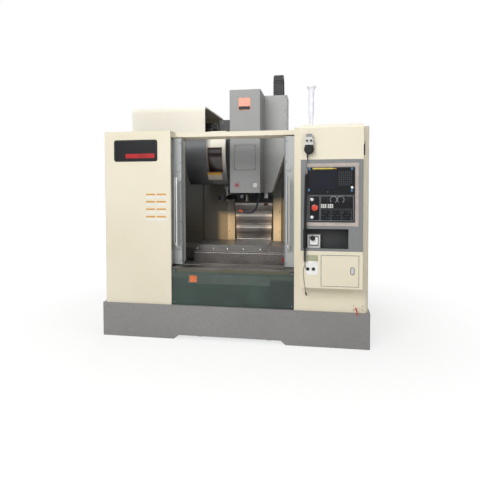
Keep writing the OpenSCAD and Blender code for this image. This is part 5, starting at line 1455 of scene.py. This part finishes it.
@dataclass(frozen=True)
class HiddenSides:
    """Fasteners, vents and fittings on the back, the sides and the hood."""

    hinge_heights: Sequence[float] = (330, 950, 1570)
    eye: Point = (480, 1730, 1944)
    eye_copies: Sequence[Point] = ((695, 0, 0), (0, 240, 0), (695, 240, 0))
    switch: tuple[float, float] = (600, 1420)

    def build(self) -> None:
        """Builds the fittings that the front doesn't show."""
        screws("hood_back_screws", run(-1180, 190, 5), BACK_Y, (2000, 2230), Facing.BACK, 12)
        screws("hood_left_screws", LEFT_X, run(760, 210, 5), 2000, Facing.LEFT, 12)
        screws("rear_wall_screws", (-1180, -700), BACK_Y, run(380, 300, 6), Facing.BACK, 12)
        slots = [(x, 0, 0) for x in run(22, 22, 9)]
        plate(
            "motor_vent", (-1120, BACK_Y, 2080), (-1108, BACK_Y + 4, 2180), 4, ABS_BLACK, rim=0.8,
            copies=slots, slot="dark_steel",
        )
        for i, z in enumerate(self.hinge_heights, 1):
            hinge = Piece.pin(f"cabinet_hinge_{i}", (1221, 2030, z), (1221, 2030, z + 90), 14, 1.5)
            hinge.dress("machine", BLACKENED)
        self.lifting_eyes()
        self.cabinet_back()
        screws("cabinet_screws", 1225, 1710, run(140, 420, 5), Facing.RIGHT, 11)
        plug = Piece.rod("drain_plug", (-900, 1680, 110), (-900, 1694, 110), 52, 6)
        plug.faces(lambda mid, normal: normal.y > 0.9).inset(5).extrude(0, 6, 0)
        plug.dress("machine", GALVANISED)
        nut = Piece.pin("foot_lock_nut", (-310, 160, 40), (-310, 160, 52), 46, 1.5, 1, 6)
        nut.repeat([*product((0, 660), (0, 550, 1100, 1550), (0,))][1:]).dress("machine", GALVANISED)

    def lifting_eyes(self) -> None:
        """Builds the four lifting eyes on the cabinet's roof, each a collared foot and a ring."""
        x, y, z = self.eye
        steps = [(40, 3), (22, 2), (18, 10)]
        foot = Piece.turned("lifting_eye_foot", (x, y, z - 44), (x, y, z - 32), 46, steps, 32)
        foot.repeat(self.eye_copies).dress("machine", GALVANISED)
        Piece.unselect()
        bpy.ops.mesh.primitive_torus_add(
            location=place(x, y, z), rotation=(math.pi / 2, 0, 0), major_radius=20 * MM, minor_radius=6 * MM,
            major_segments=32, minor_segments=12,
        )
        ring = Piece.started("lifting_eye_ring")
        ring.faces(lambda mid, normal: mid.z < z - 14).resize(1, 1.25, 1, (x, y, z - 14))
        ring.repeat(self.eye_copies).dress("machine", GALVANISED)

    def cabinet_back(self) -> None:
        """Builds the main switch and the two fan grilles on the cabinet's door."""
        door, y = "cabinet_door", CABINET_BACK_Y
        x, z = self.switch
        plate("main_switch_plate", (x - 40, y, z - 40), (x + 40, y + 4, z + 40), 6, FOIL_YELLOW, door, 0.5)
        hub = Piece.turned("main_switch_hub", (x, y + 4, z), (x, y + 14, z), 46, [(42, 2)], 40)
        hub.dress(door, ABS_RED)
        plate("main_switch_bar", (x - 8, y + 14, z - 24), (x + 8, y + 25, z + 24), 5, ABS_RED, door, 1.5)
        drop = [(0, 0, -1200)]
        plate("fan_grille", (1020, y, 1520), (1140, y + 5, 1640), 8, ABS_BLACK, door, 1.2, drop)
        slats = [(0, 0, 10.4 * i - 1200 * k) for k in range(2) for i in range(10)][1:]
        plate("fan_slat", (1030, y + 5, 1530), (1130, y + 8, 1535), 1.5, ABS_DARK, door, 0.4, slats)


# Carried-over CAD nodes


Dressing = tuple[Finish, tuple[Zone, ...]]

# Nodes that have one finish all over.
PLAIN = {
    BASE_GREY: "base_tray",
    BLACKENED: "levelling_feet magazine_disc atc_arm",
    CREAM: "left_cover right_pillar top_rail operator_box small_door",
    STAINLESS: "door_sill fixed_way_covers y_cover_2",
    SMOKED_ACRYLIC: "magazine_window",
    POLYCARBONATE: "left_window right_window",
    SMOKED_SHEET: "table_guards",
    CHAIN_GREY: "chain_box",
    GROUND: "spindle atc_shaft",
    NYLON: "cable_chain",
    ABS_DARK: "tool_pot",
    ABS_RED: "estop_button port_lever",
    ABS_BLACK: "dial_1 dial_2 dial_3 dial_4 pendant_wheel",
    ABS_WHITE: "display_button start_button stop_button",
    POLISHED: "door_latch",
    CABINET: "cabinet_door",
    PVC: "coil_cord cap_tether",
}


@dataclass(frozen=True)
class Castings:
    """Finishes of the CAD nodes, with the zones that are machined, of another material, or painted light and
    shade.

    Args:
        rail: colour of the ground guide rails and screws.
        motor: colour of the motors' black enamel.
        wash: colour of the work lights' warm wash on the rear wall.
        moulding: colour of the dark mouldings.
    """

    rail: str = "B9BABB"
    motor: str = "232426"
    wash: str = "D9C8A6"
    moulding: str = "1D1E20"

    def rails(self, *boxes: tuple[Point, Point]) -> tuple[Zone, ...]:
        """Gives ground steel inside each box."""
        return tuple(Zone(low, high, self.rail, 0.25, 1.0) for low, high in boxes)

    @staticmethod
    def painted_sheen_and_shade(low_z: float, shade_share: float) -> tuple[Zone, ...]:
        """Gives the painted highlight band across the middle and the painted shade round the foot of one
        telescopic plate.

        Args:
            low_z: height of the plate's lower edge.
            shade_share: how dark the painted shade round its foot is, 0 to 1.

        Returns:
            The zones.
        """
        z = low_z
        return (
            # A painted highlight band, then painted shade round the plate's foot.
            Zone((-400, 1300, z + 66), (400, 1600, z + 110), "D8D2CA", 0.28, 1.0, soft=22, share=0.75),
            Zone((-400, 1300, z - 60), (400, 1600, z + 62), "2B2724", 0.4, 0.6, soft=40, share=shade_share),
        )

    @staticmethod
    def door_parts(side: int) -> tuple[Zone, ...]:
        """Gives the chromed handle, painted near-white for its highlights with a dark painted reflection down
        its middle, and the seal and bright lip on a door's leading edge.

        Args:
            side: -1 for the left door and 1 for the right one.

        Returns:
            The zones.
        """
        made = []
        for x0, x1, y0, y1, z0, z1, colour, rough, metal in (
            # The handle painted near-white as its highlight, then the dark painted reflection down its
            # middle.
            (500, 560, 50, 148.5, 820, 1640, "E6E8EA", 0.22, 0.35),
            (524, 533, 50, 76, 900, 1552, "2A2C30", 0.4, 0.3),
            (486, 489.6, 161, 178, 688, 1888, "26282A", 0.6, 0.0),
            (486, 489.6, 207, 257, 688, 1888, "C9C9C6", 0.35, 0.2),
        ):
            low, high = sorted((side * x0, side * x1))
            made.append(Zone((low, y0, z0), (high, y1, z1), colour, rough, metal))
        return tuple(made)

    def machine(self) -> dict[str, Dressing]:
        """Gives the castings, slides, head and tool changer.

        Returns:
            Each node's finish and zones.
        """
        # Z cover plates with a painted highlight band and painted shade round each foot; the shade is darkest
        # on the lowest plate.
        covers = {f"z_cover_{i}": (STAINLESS, self.painted_sheen_and_shade(z, shade_share)) for i, z, shade_share in (
            (2, 715, 0.9), (3, 855, 0.5), (4, 995, 0.3),
        )}
        # Painted shadow under the head, over the top plate's upper part.
        top_painted_shadow = Zone((-300, 1300, 1222), (300, 1600, 1400), "202124", 0.45, 0.2, soft=22)
        return covers | {
            "z_cover_5": (STAINLESS, (*self.painted_sheen_and_shade(1135, 0.3), top_painted_shadow)),
            "bed_casting": (CAST, self.rails(
                ((-340, 90, 499.5), (-240, 2000, 540)),
                ((260, 90, 499.5), (380, 2000, 540)),
                ((-5, 90, 430), (45, 2000, 480)),
            )),
            "column_casting": (CAST, (
                *self.rails(
                    ((-160, 1470, 900), (-95, 1519.5, 2420)),
                    ((135, 1470, 900), (200, 1519.5, 2420)),
                ),
                Zone((-70, 1400, 2401), (130, 1900, 2560), "2B2C2E", 0.4),
            )),
            "saddle": (CAST, (
                *self.rails(
                    ((-700, 630, 646.5), (690, 705, 690)),
                    ((-700, 830, 646.5), (690, 905, 690)),
                ),
                Zone((671, 600, 560), (830, 940, 800), self.motor, 0.42),
            )),
            "table": (GROUND, (Zone((-480, 500, 600), (300, 1030, 764), "7F8380"),)),
            # Painted shade: a dark band along the foot of the head casting.
            "head_casting": (CAST, (Zone((-200, 700, 1360), (250, 1100, 1383), "26272A", 0.4, 0.3),)),
            "head_cover": (GREY, (
                # Painted reflection: a soft darker patch over the middle of the head cover.
                Zone((-400, 600, 1100), (400, 1300, 2000), "8A8B8C", 0.44, soft=330, share=0.75),
            )),
            "coolant_hose": (ACETAL, (Zone((-64, 855, 1120), (-20, 890, 1180), "E2592E", 0.35),)),
            "cam_box": (CAST, (Zone((-330, 1035, 1961), (-160, 1195, 2200), self.motor, 0.42),)),
            "magazine_cover": (HOOD_CREAM, (
                # Painted shade on the drum: darker towards its bottom, a painted shadow of the hood over its
                # left part, darkest at its lower left. The last three zones are the window's border, the
                # label's field and its amber band.
                Zone((-700, 400, 1000), (200, 1900, 1830), "777877", 0.45, soft=260),
                Zone((-900, 400, 1000), (-332, 1900, 2300), "5C5E60", 0.45, soft=60),
                Zone((-900, 400, 900), (-400, 1900, 1680), "303133", 0.45, soft=200),
                Zone((-378, 600, 1584), (-214, 960, 1853), "6B4136", 0.4),
                Zone((-393, 600, 1509), (-236, 960, 1572), "C9BFAE", 0.4),
                Zone((-393, 600, 1560), (-236, 960, 1584), "D9A441", 0.4),
            )),
        }

    def enclosure(self) -> dict[str, Dressing]:
        """Gives the sheet metal and the doors.

        Returns:
            Each node's finish and zones.
        """
        return {
            "front_panel": (GREEN, (
                # Painted reflection: the glossy green darker towards the lower right.
                Zone((250, -500, 100), (900, 600, 700), "132724", 0.2, soft=150, share=0.9),
                Zone((-520, -500, 622), (560, 600, 700), "8A744C", 0.25, soft=30, share=0.35),
                # Painted reflection: a darker patch left of the middle.
                Zone((-360, -500, 250), (-20, 600, 540), "1C352C", 0.2, soft=90, share=0.8),
                Zone((-620, -500, 560), (620, 600, 640), "5E6C62", 0.2, soft=40, share=0.3),
            )),
            "rear_wall": (WALL, (
                # Rear wall: the dark grey finish is painted shade, the two warm zones are painted pools of
                # the work lights' light fading upward, and the outer face keeps the wall's own cream.
                Zone((-485, 1200, 200), (0, 2000, 1130), self.wash, 0.45, soft=60),
                Zone((50, 1200, 200), (640, 2000, 1310), self.wash, 0.45, soft=90),
                Zone((-1300, 1656.9, 300), (1300, 1670, 2000), "E4DBC3", 0.45),
            )),
            "hood": (HOOD_CREAM, (
                # Painted shade: the hood's inner faces near-black.
                Zone((-1217, 765, 1900), (-403, 1654, 2292), "1C1C1D", 0.6),
                Zone((-1217, 704, 1900), (-403, 765, 2225), "1C1C1D", 0.6),
            )),
            "left_door": (DOOR_GREY, self.door_parts(-1)),
            "right_door": (DOOR_GREY, self.door_parts(1)),
            "signal_tower": (MILKY, (Zone((690, 180, 1950), (775, 260, 1962), "C9CACC", 0.4),)),
            "electrical_cabinet": (CABINET, (Zone((400, 1660, -1), (1300, 2030, 90), "3A3A3C"),)),
        }

    def station(self) -> dict[str, Dressing]:
        """Gives the operator station and its hand pendant.

        Returns:
            Each node's finish and zones.
        """
        return {
            "control_fascia": (FASCIA_GREY, (
                Zone((669, -107, 894), (1055, 2, 1069), "2D2E30"),
                Zone((707, -81, 896), (817, 0, 1011), "D5D4D2", 0.45),
                Zone((729, -109, 961), (775, -85, 1007), "18191B", 0.4),
            )),
            "display_unit": (ABS_DARK, (
                Zone((731, -119, 1396), (954, -100, 1568), "20222B", 0.15),
                Zone((700, -125, 1370), (1110, -122.2, 1590), "191B1F", 0.4),
            )),
            "operator_panel": (ABS_DARK, (
                Zone((820, -127, 1245), (930, -122.3, 1282), "D2D2CE", 0.4),
                Zone((826, -126, 1146), (1052, -122.3, 1224), "17191C", 0.4),
                Zone((700, -124, 1130), (1110, -122.3, 1356), "85888B", 0.4),
            )),
            "socket_plate": (ABS_WHITE, (
                Zone((697, -120, 705), (774, -113.2, 734), "202124", 0.4),
                Zone((706, -115, 789), (799, -100, 839), "A9AA90", 0.45),
            )),
            "pendant_body": (ABS_LIGHT, (
                Zone((600, -149, 1600), (800, -100, 1900), self.moulding, 0.4),
                Zone((690, -190, 1805), (714, -160.6, 1830), "141516", 0.4),
                Zone((726, -190, 1805), (750, -160.6, 1830), "141516", 0.4),
                Zone((696, -162, 1848), (744, -155, 1874), "8B8D8F", 0.4),
                Zone((600, -190, 1683), (800, -100, 1782), self.moulding, 0.4),
            )),
        }

    def build(self) -> None:
        """Puts each node's finish on its object's material slots."""
        finishes = {name: (finish, ()) for finish, names in PLAIN.items() for name in names.split()}
        finishes |= self.machine() | self.enclosure() | self.station()
        for name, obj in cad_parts.items():
            finish, zones = finishes[name]
            made = finish.material(zones)
            for slot in obj.material_slots:
                slot.material = made
            if not obj.material_slots:
                obj.data.materials.append(made)
            log.info("%s in %s", name, finish.name)


def main() -> None:
    """Builds the classes in order."""
    logging.basicConfig(level=logging.INFO, format="%(message)s")
    doors = DoorTrim(), DoorTrim(body="right_door", side=1)
    for part in (
        Studio(), PendantCords(), Castings(), FrontCovers(), *doors, HeadTrim(), Interior(), OperatorTrim(),
        GreenPanelTrim(), HiddenSides(),
    ):
        part.build()


if __name__ == "__main__":
    main()
